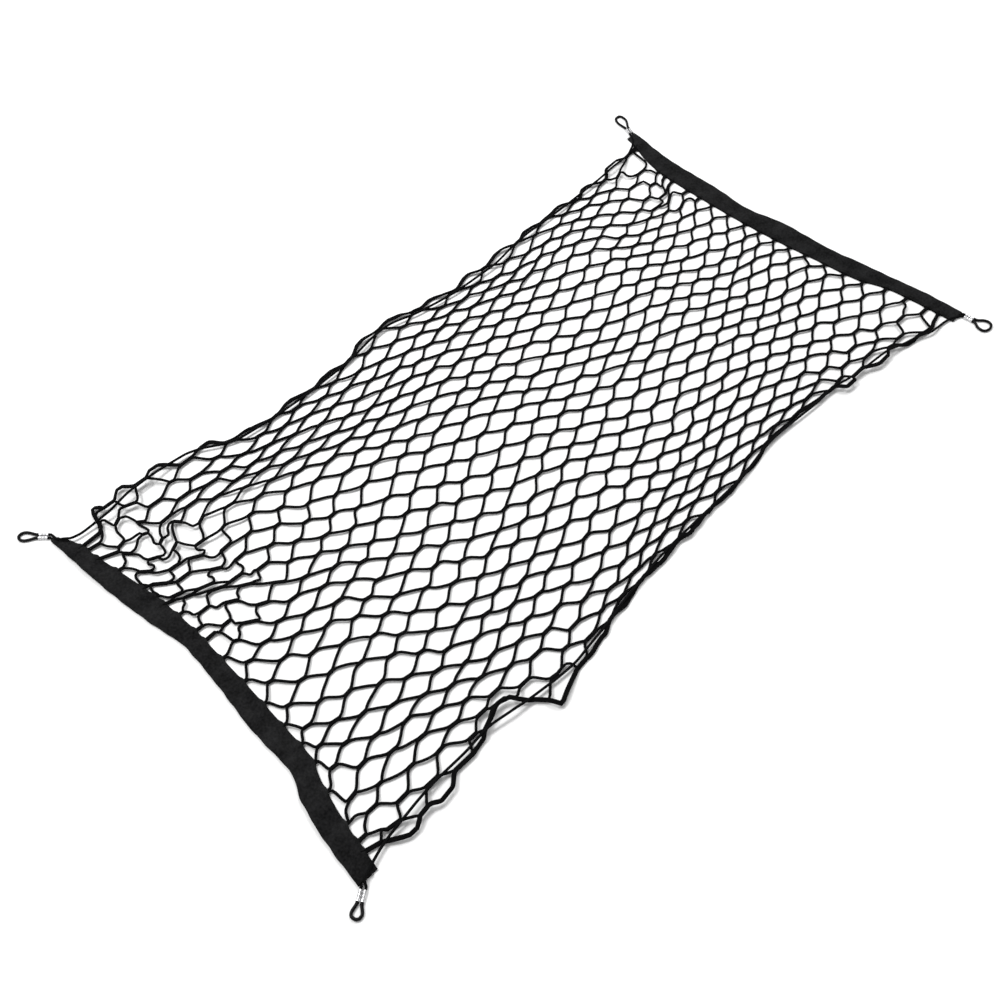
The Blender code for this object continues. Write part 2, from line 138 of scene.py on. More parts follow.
class Graph:
    """The node tree of one finish, on Blender's own Principled shader."""

    def __init__(self, name: str) -> None:
        """Starts a material.

        Args:
            name: The material's name.
        """
        self.material = bpy.data.materials.new(name)
        self.material.use_nodes = True
        self.tree = self.material.node_tree
        self.shader = self.tree.nodes["Principled BSDF"]

    def node(self, kind: str, settings: Values | None = None, inputs: Values | None = None) -> bpy.types.Node:
        """Adds a node, sets it up and joins it.

        Args:
            kind: The node's type.
            settings: Its properties, set first, and a ramp's stops as (place, grey) pairs.
            inputs: A number, colour, socket or level for each input, by name or by number.

        Returns:
            The node.
        """
        node = self.tree.nodes.new(kind)
        for key, value in (settings or {}).items():
            if key != "stops":
                setattr(node, key, value)
                continue
            ramp = node.color_ramp
            for stop, (place, grey) in enumerate(value):
                element = ramp.elements[stop] if stop < 2 else ramp.elements.new(place)
                element.position = place
                element.color = (grey, grey, grey, 1.0)
        self.feed(node, inputs or {})
        return node

    def feed(self, node: bpy.types.Node, inputs: Values) -> None:
        """Sets or joins inputs of a node.

        Args:
            node: The node that gets them.
            inputs: A number, colour, socket or level for each input, by name or by number.
        """
        for key, value in inputs.items():
            if isinstance(value, Level):
                value = value.socket
            if isinstance(value, bpy.types.NodeSocket):
                self.tree.links.new(value, node.inputs[key])
            elif isinstance(value, tuple) and len(value) == 3 and node.inputs[key].type == "RGBA":
                node.inputs[key].default_value = (*value, 1.0)
            else:
                node.inputs[key].default_value = value

    def object_place(self) -> bpy.types.NodeSocket:
        """The point on the surface, in metres."""
        return self.node("ShaderNodeTexCoord").outputs["Object"]

    def along_and_across(self) -> tuple[Level, Level]:
        """The piece's own UV map as two levels."""
        place = self.node("ShaderNodeUVMap", {"uv_map": "UVMap"}).outputs[0]
        parts = self.node("ShaderNodeSeparateXYZ", {}, {0: place})
        return Level(self, parts.outputs[0]), Level(self, parts.outputs[1])

    def noise(self, size: float, detail: float = 3.0, vector: Any = None) -> Level:
        """Cloudy variation.

        Args:
            size: About how far apart the clouds are, in metres.
            detail: How many finer octaves lie in them.
            vector: Where it is read; the object's own place unless given.

        Returns:
            A level around 0.5.
        """
        place = vector or self.object_place()
        inputs = {"Vector": place, "Scale": 1.0 / size, "Detail": detail, "Roughness": 0.6}
        return Level(self, self.node("ShaderNodeTexNoise", {}, inputs).outputs["Fac"])

    def ramp(self, level: Level, stops: Sequence[tuple[float, float]]) -> Level:
        """The level read through a ramp.

        Args:
            level: The level.
            stops: (place, grey) pairs.

        Returns:
            The ramp's grey as a level.
        """
        node = self.node("ShaderNodeValToRGB", {"stops": stops}, {0: level})
        return Level(self, node.outputs[0])

    def blend(self, share: Level, first: Any, second: Any) -> bpy.types.NodeSocket:
        """Two colours mixed.

        Args:
            share: How much of the second.
            first: A colour or a colour socket.
            second: A colour or a colour socket.

        Returns:
            The mixed colour.
        """
        settings = {"data_type": "RGBA", "clamp_factor": True}
        return self.node("ShaderNodeMix", settings, {0: share, 6: first, 7: second}).outputs[2]

    def relief(self, height: Level, depth: float, strength: float = 1.0) -> None:
        """Gives the shader a raised pattern.

        Args:
            height: The pattern, 0 to 1.
            depth: How high 1 stands, in metres.
            strength: How much of it is seen.
        """
        bump = self.node("ShaderNodeBump", {}, {"Strength": strength, "Distance": depth, "Height": height})
        self.feed(self.shader, {"Normal": bump.outputs[0]})


# ---- finishes ------------------------------------------------------------------------------------


@dataclass(frozen=True)
class BraidedCover:
    """A cord's braided yarn cover, read along and around the cord from its UV map."""

    name: str
    dark: Colour
    light: Colour
    pitch: float
    carriers: int
    roughness: float = 0.82
    gloss: float = 0.035

    def material(self) -> bpy.types.Material:
        """Builds the material: two yarn helices with painted highlights on their crowns, and lint."""
        graph = Graph(self.name)
        along, around = graph.along_and_across()
        turn = along * (2 * math.pi / self.pitch)
        wrap = around * (2 * math.pi * self.carriers)
        yarn = ((turn + wrap).sine().larger((turn - wrap).sine())) * 0.5 + 0.5
        lint = graph.ramp(graph.noise(1.4 * MM, 4.0), ((0.60, 0.0), (0.78, 1.0)))
        uneven = graph.noise(22 * MM, 2.0)
        # Painted highlight: the raised yarn is coloured lighter; uneven adds random tone and lint adds
        # specks.
        colour = graph.blend(yarn * 0.55 + uneven * 0.35, self.dark, self.light)
        lint_colour = tuple(min(1.0, c * 4.0) for c in self.light)
        colour = graph.blend(lint * 0.35, colour, lint_colour)
        rough = self.roughness - 0.1 * yarn + 0.12 * uneven
        graph.feed(graph.shader, {"Base Color": colour, "Roughness": rough, "Specular IOR Level": self.gloss})
        graph.relief(yarn, 0.16 * MM, 0.7)
        return graph.material


@dataclass(frozen=True)
class WovenFabric:
    """Plain woven cloth, read along and across the sleeve from its UV map in metres."""

    name: str
    dark: Colour
    light: Colour
    thread: float
    gloss: float = 0.055
    sheen: float = 0.015

    def material(self) -> bpy.types.Material:
        """Builds the material: over-and-under threads, painted shade of soft wrinkles, and soft creases."""
        graph = Graph(self.name)
        along, across = graph.along_and_across()
        warp = (along * (math.pi / self.thread)).sine()
        weft = (across * (math.pi / self.thread)).sine()
        weave = (warp * weft).absolute()
        slub = graph.ramp(graph.noise(3.0 * MM, 4.0), ((0.34, 0.0), (0.66, 1.0)))
        painted_wrinkle_shade = graph.ramp(graph.noise(26 * MM, 4.0), ((0.38, 0.0), (0.66, 1.0)))
        crease = graph.noise(9 * MM, 2.0)
        # Painted shade: the broad patches are coloured lighter and darker the way wrinkles would shade the
        # cloth.
        colour = graph.blend(weave * 0.2 + painted_wrinkle_shade * 0.35 + slub * 0.45, self.dark, self.light)
        rough = 0.86 + 0.08 * slub - 0.06 * painted_wrinkle_shade
        graph.feed(graph.shader, {"Base Color": colour, "Roughness": rough, "Specular IOR Level": self.gloss})
        graph.feed(graph.shader, {"Sheen Weight": self.sheen, "Sheen Roughness": 0.5})
        graph.relief(weave * 0.2 + crease * 1.2 + slub * 0.12, 0.55 * MM, 0.65)
        return graph.material


@dataclass(frozen=True)
class PressedMetal:
    """Bright plated metal with the scuffs and dull patches of pressing."""

    name: str
    bright: Colour
    dull: Colour

    def material(self) -> bpy.types.Material:
        """Builds the material."""
        graph = Graph(self.name)
        stretch = graph.node("ShaderNodeMapping", {}, {0: graph.object_place(), "Scale": (1.0, 1.0, 3.0)})
        scuffs = graph.noise(0.7 * MM, 5.0, stretch.outputs[0])
        patches = graph.ramp(graph.noise(3.2 * MM, 3.0), ((0.38, 0.0), (0.66, 1.0)))
        colour = graph.blend(patches * 0.7 + scuffs * 0.2, self.bright, self.dull)
        rough = 0.16 + 0.22 * scuffs + 0.14 * patches
        graph.feed(graph.shader, {"Base Color": colour, "Roughness": rough, "Metallic": 1.0})
        graph.relief(scuffs, 0.05 * MM, 0.4)
        return graph.material


@dataclass(frozen=True)
class CoatedCover:
    """Smooth black coating of the corner loops, with faint scuffs."""

    name: str
    colour: Colour
    gloss: float = 0.10

    def material(self) -> bpy.types.Material:
        """Builds the material."""
        graph = Graph(self.name)
        scuffs = graph.ramp(graph.noise(1.6 * MM, 5.0), ((0.50, 0.0), (0.80, 1.0)))
        worn = tuple(c * 3.0 for c in self.colour)
        colour = graph.blend(scuffs * 0.5, self.colour, worn)
        rough = 0.30 + 0.30 * scuffs
        graph.feed(graph.shader, {"Base Color": colour, "Roughness": rough, "Specular IOR Level": self.gloss})
        graph.relief(graph.noise(0.9 * MM, 3.0), 0.04 * MM, 0.4)
        return graph.material


@dataclass(frozen=True)
class PaperFloor:
    """Plain white studio paper."""

    name: str
    white: float
    shade: float = 0.985
    gloss: float = 0.1

    def material(self) -> bpy.types.Material:
        """Builds the material."""
        graph = Graph(self.name)
        grain = graph.noise(0.35, 2.0)
        first, second = ((grey, grey, grey) for grey in (self.white, self.white * self.shade))
        colour = graph.blend(grain, first, second)
        graph.feed(graph.shader, {"Base Color": colour, "Roughness": 0.9, "Specular IOR Level": self.gloss})
        return graph.material


NET_COVER = BraidedCover("net_cover", (0.0012, 0.0012, 0.0014), (0.0052, 0.0052, 0.0056), 3.0 * MM, 4)
EDGE_COVER = BraidedCover("edge_cover", (0.0016, 0.0016, 0.0018), (0.0065, 0.0065, 0.0070), 3.6 * MM, 4)
SLEEVE_CLOTH = WovenFabric("sleeve_cloth", (0.0004, 0.0004, 0.0005), (0.0205, 0.0205, 0.0212), 0.9 * MM)
THREAD = BraidedCover("sewing_thread", (0.0060, 0.0060, 0.0065), (0.014, 0.014, 0.015), 1.2 * MM, 2, 0.6)
GREY_THREAD = BraidedCover("cut_thread", (0.030, 0.030, 0.031), (0.085, 0.085, 0.088), 1.2 * MM, 2, 0.7)
BARREL_METAL = PressedMetal("barrel_metal", (0.80, 0.80, 0.81), (0.42, 0.42, 0.43))
LOOP_COATING = CoatedCover("loop_coating", (0.0022, 0.0022, 0.0025))
FLOOR_PAPER = PaperFloor("floor_paper", 0.93)


# ---- shapes --------------------------------------------------------------------------------------

FEWEST_POINTS = 8
FINER = 8
ALIKE = 1e-6


def rows_of(kind: Callable[..., Row], *rows: tuple[Any, ...]) -> tuple[Row, ...]:
    """A table's rows, each made as one thing of that kind.

    Args:
        kind: What each row makes.
        rows: The fields of each row, in their order.

    Returns:
        The rows.
    """
    return tuple(kind(*row) for row in rows)


def through(stations: Sequence[float], values: Sequence[float], at: Any) -> Any:
    """One smooth curve through the given rows, never past a row.

    Args:
        stations: Where the rows are, rising.
        values: The height at each row.
        at: The places to read.

    Returns:
        The height at each place.
    """
    stations = np.asarray(stations, float)
    values = np.asarray(values, float)
    steep = np.diff(values) / np.diff(stations)
    agree = steep[:-1] * steep[1:] > 0
    both = np.where(agree, steep[:-1] + steep[1:], 1.0)
    middle = np.where(agree, 2 * steep[:-1] * steep[1:] / both, 0)
    slopes = np.concatenate([steep[:1], middle, steep[-1:]])
    row = np.clip(np.searchsorted(stations, at) - 1, 0, len(stations) - 2)
    span = stations[row + 1] - stations[row]
    part = np.clip((at - stations[row]) / span, -0.2, 1.2)
    rise = part * part * (3 - 2 * part)
    bend = part * (1 - part) ** 2 * slopes[row] + part * part * (part - 1) * slopes[row + 1]
    return values[row] * (1 - rise) + values[row + 1] * rise + bend * span


def at_plan(x: float, y: float, z: float) -> Vector:
    """The point in metres at plan (x, y), in millimetres, and height z, in metres."""
    return Vector((x * MM - PLAN_CENTRE[0], y * MM - PLAN_CENTRE[1], z))


def seen_at(x: float, y: float, z: float) -> Vector:
    """The point at height z, in metres, that the camera sees over plan (x, y) of the floor."""
    return at_plan(x, y, 0.0).lerp(Vector(CAMERA_PLACE), z / CAMERA_PLACE[2])


def walked(way: np.ndarray) -> np.ndarray:
    """How far along its route each point lies, from 0 at the first."""
    return np.concatenate([[0], np.cumsum(np.linalg.norm(np.diff(way, axis=0), axis=1))])


def length_of(way: np.ndarray) -> float:
    """The whole length of a route."""
    return float(np.linalg.norm(np.diff(way, axis=0), axis=1).sum())


def steps_of(section: Sequence[Vector]) -> list[float]:
    """The distance from each point of a section to the next."""
    return [(after - before).length for before, after in zip(section, section[1:])]


def smooth_way(points: Iterable[Sequence[float]], spacing: float) -> np.ndarray:
    """A route as one smooth curve, read evenly.

    Args:
        points: The route's points.
        spacing: About how far apart it is read.

    Returns:
        The curve's points, one a row.
    """
    rows = np.array([tuple(p) for p in points])
    along = walked(rows)
    count = max(FEWEST_POINTS, int(round(along[-1] / spacing)))
    fine = np.linspace(0, along[-1], count * FINER)
    dense = np.stack([through(along, rows[:, axis], fine) for axis in range(3)], axis=1)
    paced = walked(dense)
    even = np.linspace(0, paced[-1], count)
    return np.stack([np.interp(even, paced, dense[:, axis]) for axis in range(3)], axis=1)


def in_scene(name: str, data: bpy.types.ID) -> bpy.types.Object:
    """Makes an object of the data and links it to the scene.

    Args:
        name: The object's name.
        data: Its mesh, curve, light or camera.

    Returns:
        The object.
    """
    made = bpy.data.objects.new(name, data)
    bpy.context.scene.collection.objects.link(made)
    return made


def new_piece(name: str, data: bpy.types.Mesh, finish: bpy.types.Material) -> bpy.types.Object:
    """Makes an object in the scene with one material.

    Args:
        name: The piece's name.
        data: Its mesh.
        finish: Its material.

    Returns:
        The object.
    """
    data.materials.clear()
    data.materials.append(finish)
    return in_scene(name, data)


def mesh_of(tool: bmesh.types.BMesh, name: str) -> bpy.types.Mesh:
    """Turns a bmesh into a mesh that is shaded smooth, and frees it.

    Args:
        tool: The bmesh.
        name: The mesh's name.

    Returns:
        The mesh.
    """
    for face in tool.faces:
        face.smooth = True
    data = bpy.data.meshes.new(name)
    tool.to_mesh(data)
    tool.free()
    return data


@dataclass(frozen=True)
class RoundCord:
    """Round cord of one diameter, swept along its routes as a bevelled curve."""

    diameter: float
    roundness: int = 2

    def add_to(self, tool: bmesh.types.BMesh, way: np.ndarray, thickness: np.ndarray | None = None) -> None:
        """Sweeps one route and adds it, with metres along in U and turns around in V.

        Args:
            tool: The bmesh that gets the cord.
            way: The route's points.
            thickness: A share of the diameter at each point.
        """
        curve = bpy.data.curves.new("way", "CURVE")
        curve.dimensions = "3D"
        curve.bevel_depth = self.diameter / 2
        curve.bevel_resolution = self.roundness
        curve.use_fill_caps = True
        spline = curve.splines.new("POLY")
        spline.points.add(len(way) - 1)
        for target, point in zip(spline.points, way):
            target.co = (*point, 1.0)
        if thickness is not None:
            spline.points.foreach_set("radius", np.asarray(thickness, np.float32))
        spline.use_smooth = True
        holder = in_scene("way", curve)
        graph = bpy.context.evaluated_depsgraph_get()
        swept = bpy.data.meshes.new_from_object(holder.evaluated_get(graph))
        bpy.data.objects.remove(holder)
        bpy.data.curves.remove(curve)
        lengths = walked(way)
        layer = swept.uv_layers["UVMap"]
        pairs = np.empty(len(layer.data) * 2, np.float32)
        layer.data.foreach_get("uv", pairs)
        pairs = pairs.reshape(-1, 2)
        pairs[:, 0] = np.interp(pairs[:, 0] * (len(way) - 1), np.arange(len(way)), lengths)
        layer.data.foreach_set("uv", pairs.ravel())
        tool.from_mesh(swept)
        bpy.data.meshes.remove(swept)

    def build(self, name: str, ways: Iterable[np.ndarray], finish: bpy.types.Material) -> bpy.types.Object:
        """One piece of any number of cords.

        Args:
            name: The piece's name.
            ways: Each cord's route.
            finish: Its material.

        Returns:
            The object.
        """
        tool = bmesh.new()
        for way in ways:
            self.add_to(tool, way)
        bmesh.ops.remove_doubles(tool, verts=tool.verts[:], dist=ALIKE)
        return new_piece(name, mesh_of(tool, name), finish)


# ---- the net as it lies --------------------------------------------------------------------------


@dataclass(frozen=True)
class MeshColumn:
    """One column of meshes across the net, read from the high long edge to the low one.

    cells holds the middle y of every mesh and places their x, or only the x at the high tenth, the
    middle and the low tenth. high and low are where the outermost strands lie. Most of the middles
    were found by a separate program, which labelled the light cells of the flattened photo, and were
    rounded to whole millimetres.
    """

    number: int
    high: float
    low: float
    cells: tuple[float, ...]
    places: tuple[float, ...]
    high_x: float | None = None
    low_x: float | None = None


MESH_COLUMNS = (
    MeshColumn(
        0, 272, -288,
        (250, 228, 200, 172, 148, 126, 105, 80, 56, 31, -9, -50, -86, -122, -150, -178, -219, -250, -275),
        (-522, -498, -521),
    ),
    MeshColumn(
        1, 305, -292,
        (288, 253, 224, 197, 163, 137, 115, 96, 63, 34, 5, -33, -70, -109, -138, -165, -200, -233, -261,
         -284),
        (-484, -494, -487, -495, -493, -491, -485, -476, -471, -469, -476, -479, -479, -482, -483, -489,
         -495, -497, -491, -479),
        high_x=-490,
    ),
    MeshColumn(
        2, 303, -297,
        (276, 247, 205, 171, 148, 122, 103, 81, 45, 10, -22, -57, -93, -126, -156, -185, -217, -245, -269),
        (-470, -473, -473, -470, -462, -458, -455, -448, -445, -448, -450, -450, -452, -452, -459, -466,
         -467, -464, -456),
    ),
    MeshColumn(
        3, 312, -290,
        (294, 262, 220, 194, 164, 133, 103, 79, 54, 19, -11, -41, -75, -109, -142, -173, -201, -226, -255,
         -283),
        (-445, -453, -454, -449, -441, -434, -426, -414, -418, -420, -421, -418, -419, -420, -424, -430,
         -435, -432, -428, -426),
    ),
    MeshColumn(
        4, 302, -284,
        (275, 240, 216, 187, 148, 122, 96, 62, 31, 1, -25, -57, -90, -125, -158, -186, -211, -237, -263),
        (-423, -428, -428, -424, -412, -400, -390, -386, -391, -390, -387, -386, -388, -390, -395, -399,
         -400, -399, -393),
    ),
    MeshColumn(
        5, 306, -276,
        (286, 255, 231, 206, 176, 147, 115, 80, 43, 17, -10, -41, -74, -108, -144, -175, -201, -225, -250,
         -267),
        (-389, -396, -393, -401, -395, -377, -364, -362, -360, -357, -354, -356, -356, -358, -361, -365,
         -366, -366, -364, -362),
        high_x=-397,
    ),
    MeshColumn(
        6, 296, -268,
        (266, 241, 216, 196, 171, 133, 97, 61, 29, 1, -31, -64, -96, -130, -163, -191, -216, -239, -255),
        (-361, -362, -366, -367, -359, -343, -336, -333, -328, -326, -327, -328, -329, -331, -334, -333,
         -334, -335, -333),
    ),
    MeshColumn(
        7, 290, -260,
        (272, 246, 221, 201, 182, 152, 112, 75, 43, 11, -21, -54, -85, -118, -151, -180, -206, -232, -249,
         -256),
        (-328, -330, -331, -331, -329, -325, -313, -308, -304, -300, -300, -300, -301, -303, -305, -306,
         -306, -305, -304, -303),
    ),
    MeshColumn(
        8, 280, -287,
        (250, 226, 206, 188, 164, 131, 94, 59, 26, -7, -39, -71, -104, -136, -165, -194, -220, -245, -268),
        (-298, -302, -300, -299, -298, -293, -285, -277, -273, -271, -270, -269, -273, -276, -275, -276,
         -275, -273, -273),
    ),
    MeshColumn(
        9, 266, -307,
        (258, 236, 215, 195, 174, 149, 116, 81, 45, 11, -24, -56, -89, -123, -152, -178, -205, -231, -262,
         -292),
        (-262, -265, -266, -266, -266, -264, -259, -251, -245, -243, -242, -240, -241, -244, -245, -244,
         -244, -242, -244, -249),
        low_x=-264,
    ),
    MeshColumn(
        11, 268, -288,
        (260, 237, 215, 191, 168, 143, 117, 85, 48, 12, -23, -58, -91, -121, -150, -177, -204, -233, -261,
         -279),
        (-199, -184, -180),
    ),
    MeshColumn(
        13, 268, -274,
        (259, 237, 213, 187, 163, 138, 111, 82, 49, 13, -23, -58, -89, -118, -147, -176, -206, -235, -256,
         -268),
        (-133, -124, -116),
    ),
    MeshColumn(
        16, 286, -265,
        (260, 231, 204, 179, 152, 124, 95, 66, 34, 1, -32, -64, -94, -126, -158, -188, -212, -232, -250),
        (-30, -24, -13),
    ),
    MeshColumn(
        20, 268, -260,
        (243, 226, 202, 176, 148, 118, 87, 54, 23, -6, -35, -67, -99, -131, -158, -183, -204, -225, -245),
        (98, 98, 113),
    ),
    MeshColumn(
        23, 271, -247,
        (260, 233, 212, 190, 161, 131, 99, 66, 36, 7, -21, -49, -79, -108, -135, -159, -182, -206, -228,
         -241),
        (198, 197, 217),
    ),
    MeshColumn(
        26, 275, -254,
        (257, 234, 210, 184, 151, 119, 88, 60, 31, 1, -30, -59, -86, -113, -141, -168, -193, -218, -239),
        (301, 299, 315),
    ),
    MeshColumn(
        29, 277, -267,
        (262, 241, 212, 182, 152, 126, 100, 69, 41, 12, -16, -43, -70, -98, -124, -151, -180, -211, -239,
         -259),
        (397, 397, 390, 386, 382, 380, 384, 380, 383, 383, 383, 386, 389, 391, 395, 397, 398, 399, 401,
         408),
    ),
    MeshColumn(
        31, 283, -274,
        (270, 237, 205, 173, 154, 131, 103, 75, 43, 12, -10, -32, -62, -91, -117, -148, -181, -214, -245,
         -270),
        (467, 456, 455, 444, 443, 443, 443, 443, 445, 442, 446, 449, 453, 457, 460, 460, 458, 460, 462,
         467),
    ),
    MeshColumn(
        32, 285, -286,
        (254, 220, 185, 166, 149, 124, 97, 65, 31, 7, -17, -45, -71, -101, -131, -165, -196, -228, -262),
        (493, 486, 470, 469, 472, 472, 474, 474, 473, 476, 480, 479, 485, 490, 489, 488, 493, 494, 495),
    ),
    MeshColumn(
        33, 288, -288,
        (284, 232, 204, 188, 167, 142, 118, 86, 53, 24, -2, -30, -54, -86, -118, -149, -178, -213, -245,
         -276),
        (514, 502, 533),
    ),
)


@dataclass(frozen=True)
class PlacedJoin:
    """A join that lies out of line: its plan place, its turn in degrees and half its length.

    At the first and the last column the place is where the pair parts, outside the sleeve.
    """

    column: int
    boundary: int
    x: float
    y: float
    turn: float = 0.0
    half: float = 7.0


PLACED_JOINS = rows_of(
    PlacedJoin,
    (0, 39, -503, 268, 5), (0, 37, -511, 254.5, -8), (0, 35, -502, 226.5, -27), (0, 33, -510, 202, -15),
    (0, 31, -503, 158, -15), (0, 29, -502, 137, -35), (0, 27, -493, 118, -30), (0, 25, -494, 97, 5),
    (0, 23, -489, 64.5), (0, 21, -484, 46.5, 5), (0, 5, -518, -240, 10), (0, 3, -513, -263),
    (0, 1, -508, -281, -18),
    (1, 40, -488, 306, 10, 2.5), (1, 38, -496, 278, 62, 5), (1, 36, -493, 233.5, 14, 5),
    (1, 34, -496, 217, -48, 5), (1, 32, -495, 178, -42, 6), (1, 30, -492, 150, -40, 8),
    (1, 28, -486, 122, -14, 7), (1, 26, -478, 110.5, -18, 6), (1, 24, -474, 81, 0, 7),
    (1, 22, -466, 47, 2, 6), (1, 6, -498, -221.5, 10, 6), (1, 4, -493, -246.5, 0, 6),
    (1, 2, -487, -276, -8, 8), (1, 0, -477, -297, 0, 5),
    (2, 39, -470, 297.5, 0, 8), (2, 37, -478, 266.5, 30, 6), (2, 35, -463, 225, -25, 4),
    (2, 33, -477, 186.5, -25, 6), (2, 31, -466, 157.5, -3, 7), (2, 29, -466, 137, 0, 10),
    (2, 27, -453, 106, -18, 7), (2, 25, -448, 94, -22, 6), (2, 23, -446, 67, -30, 6),
    (2, 21, -448, 29, -32, 8), (2, 3, -461, -260.5, 3, 7), (2, 1, -455, -288, 8, 6),
    (3, 40, -446, 310, 0, 4), (3, 38, -451, 277.5, -20, 7), (3, 36, -457, 244.5, -38, 5),
    (3, 34, -455, 201, 32, 5), (3, 32, -447, 182.5, 30, 6), (3, 30, -438, 150, -28, 9),
    (3, 28, -431, 118, -30, 7), (3, 26, -422, 90, -2, 9), (3, 24, -419, 73, -30, 7),
    (3, 22, -421, 37.5, -25, 7), (3, 2, -427, -270, 0, 8), (3, 0, -425, -292.5, 8, 8),
    (4, 39, -421, 298.5, 0, 8), (4, 37, -427, 256, 0, 8), (4, 35, -432, 225, 5, 8),
    (4, 33, -424, 211, -50, 4), (4, 31, -423, 164, 0, 7), (4, 29, -404, 135, 5, 7),
    (4, 27, -400, 111, 4, 7), (4, 25, -389, 79.5, 0, 8), (4, 23, -388, 46.5, -38, 6),
    (4, 1, -388, -279, 0, 12),
    (5, 40, -397, 306, 0, 6), (5, 36, -396, 238.5, 0, 9), (5, 34, -395, 221, 0, 9),
    (5, 32, -401, 191.5, 30, 6), (5, 2, -361, -264, 0, 6), (5, 0, -362, -277, 12, 5),
    (6, 39, -360, 283, 0, 8), (6, 37, -365, 253, -5, 7), (6, 35, -357, 230.5, -3, 6),
    (6, 3, -334, -251, 0, 7), (6, 1, -341, -266.5, 22, 6),
    (7, 40, -327, 289, 0, 5), (7, 36, -332, 234.5, -5, 7), (7, 4, -307, -243.5, 0, 7),
    (7, 2, -314, -256, -4, 9), (7, 0, -306, -259, -18, 6),
    (8, 3, -275, -259, 0, 7), (8, 1, -278, -287, -48, 7),
    (9, 4, -242.5, -243.5, 0, 7), (9, 0, -263, -307, 8, 3),
    (10, 1, -213, -289.5, 6, 8),
    (11, 4, -184, -249, 4, 8), (11, 2, -183, -272.5, 2, 7), (11, 0, -178, -285, 12, 6),
    (27, 4, 339, -222.5, 0, 7), (27, 2, 341, -248, 0, 6), (27, 0, 345, -264, 0, 8),
    (28, 3, 368, -238, 0, 8), (28, 1, 367, -258.5, 0, 11),
    (29, 4, 398, -227.5, 0, 8), (29, 2, 404, -250, 0, 8), (29, 0, 412, -271, 2, 9),
    (31, 40, 470, 283, 4, 10), (31, 38, 459, 257, 22, 8), (31, 36, 452, 221, 0, 8),
    (31, 34, 446, 186.5, 0, 6), (31, 32, 436, 161.5, -2, 7), (31, 4, 456.5, -230, 0, 7),
    (31, 2, 462, -262, -4, 6), (31, 0, 462, -280, -10, 5),
    (32, 39, 508, 279.5, 10, 5), (32, 37, 488, 235.5, 2, 8), (32, 35, 479, 202, -8, 5),
    (32, 33, 467, 172.5, 4, 8), (32, 31, 470, 161, 32, 9), (32, 29, 473, 137.5, 24, 8),
    (32, 3, 491, -243, 0, 9), (32, 1, 498, -283, -8, 6),
    (33, 40, 516, 282, 12), (33, 38, 518, 279, -2), (33, 36, 503, 215, 15), (33, 34, 496, 197, 32),
    (33, 32, 493, 182, 18), (33, 30, 491, 153, -8), (33, 28, 492, 127.5), (33, 4, 522, -226, -8),
    (33, 2, 519, -258), (33, 0, 520, -280, 18),
)


@dataclass(frozen=True)
class SlackLane:
    """A slack cord on its way to the next column: the strand, the column it leaves, what it passes."""

    strand: int
    column: int
    via: tuple[tuple[float, float], ...]


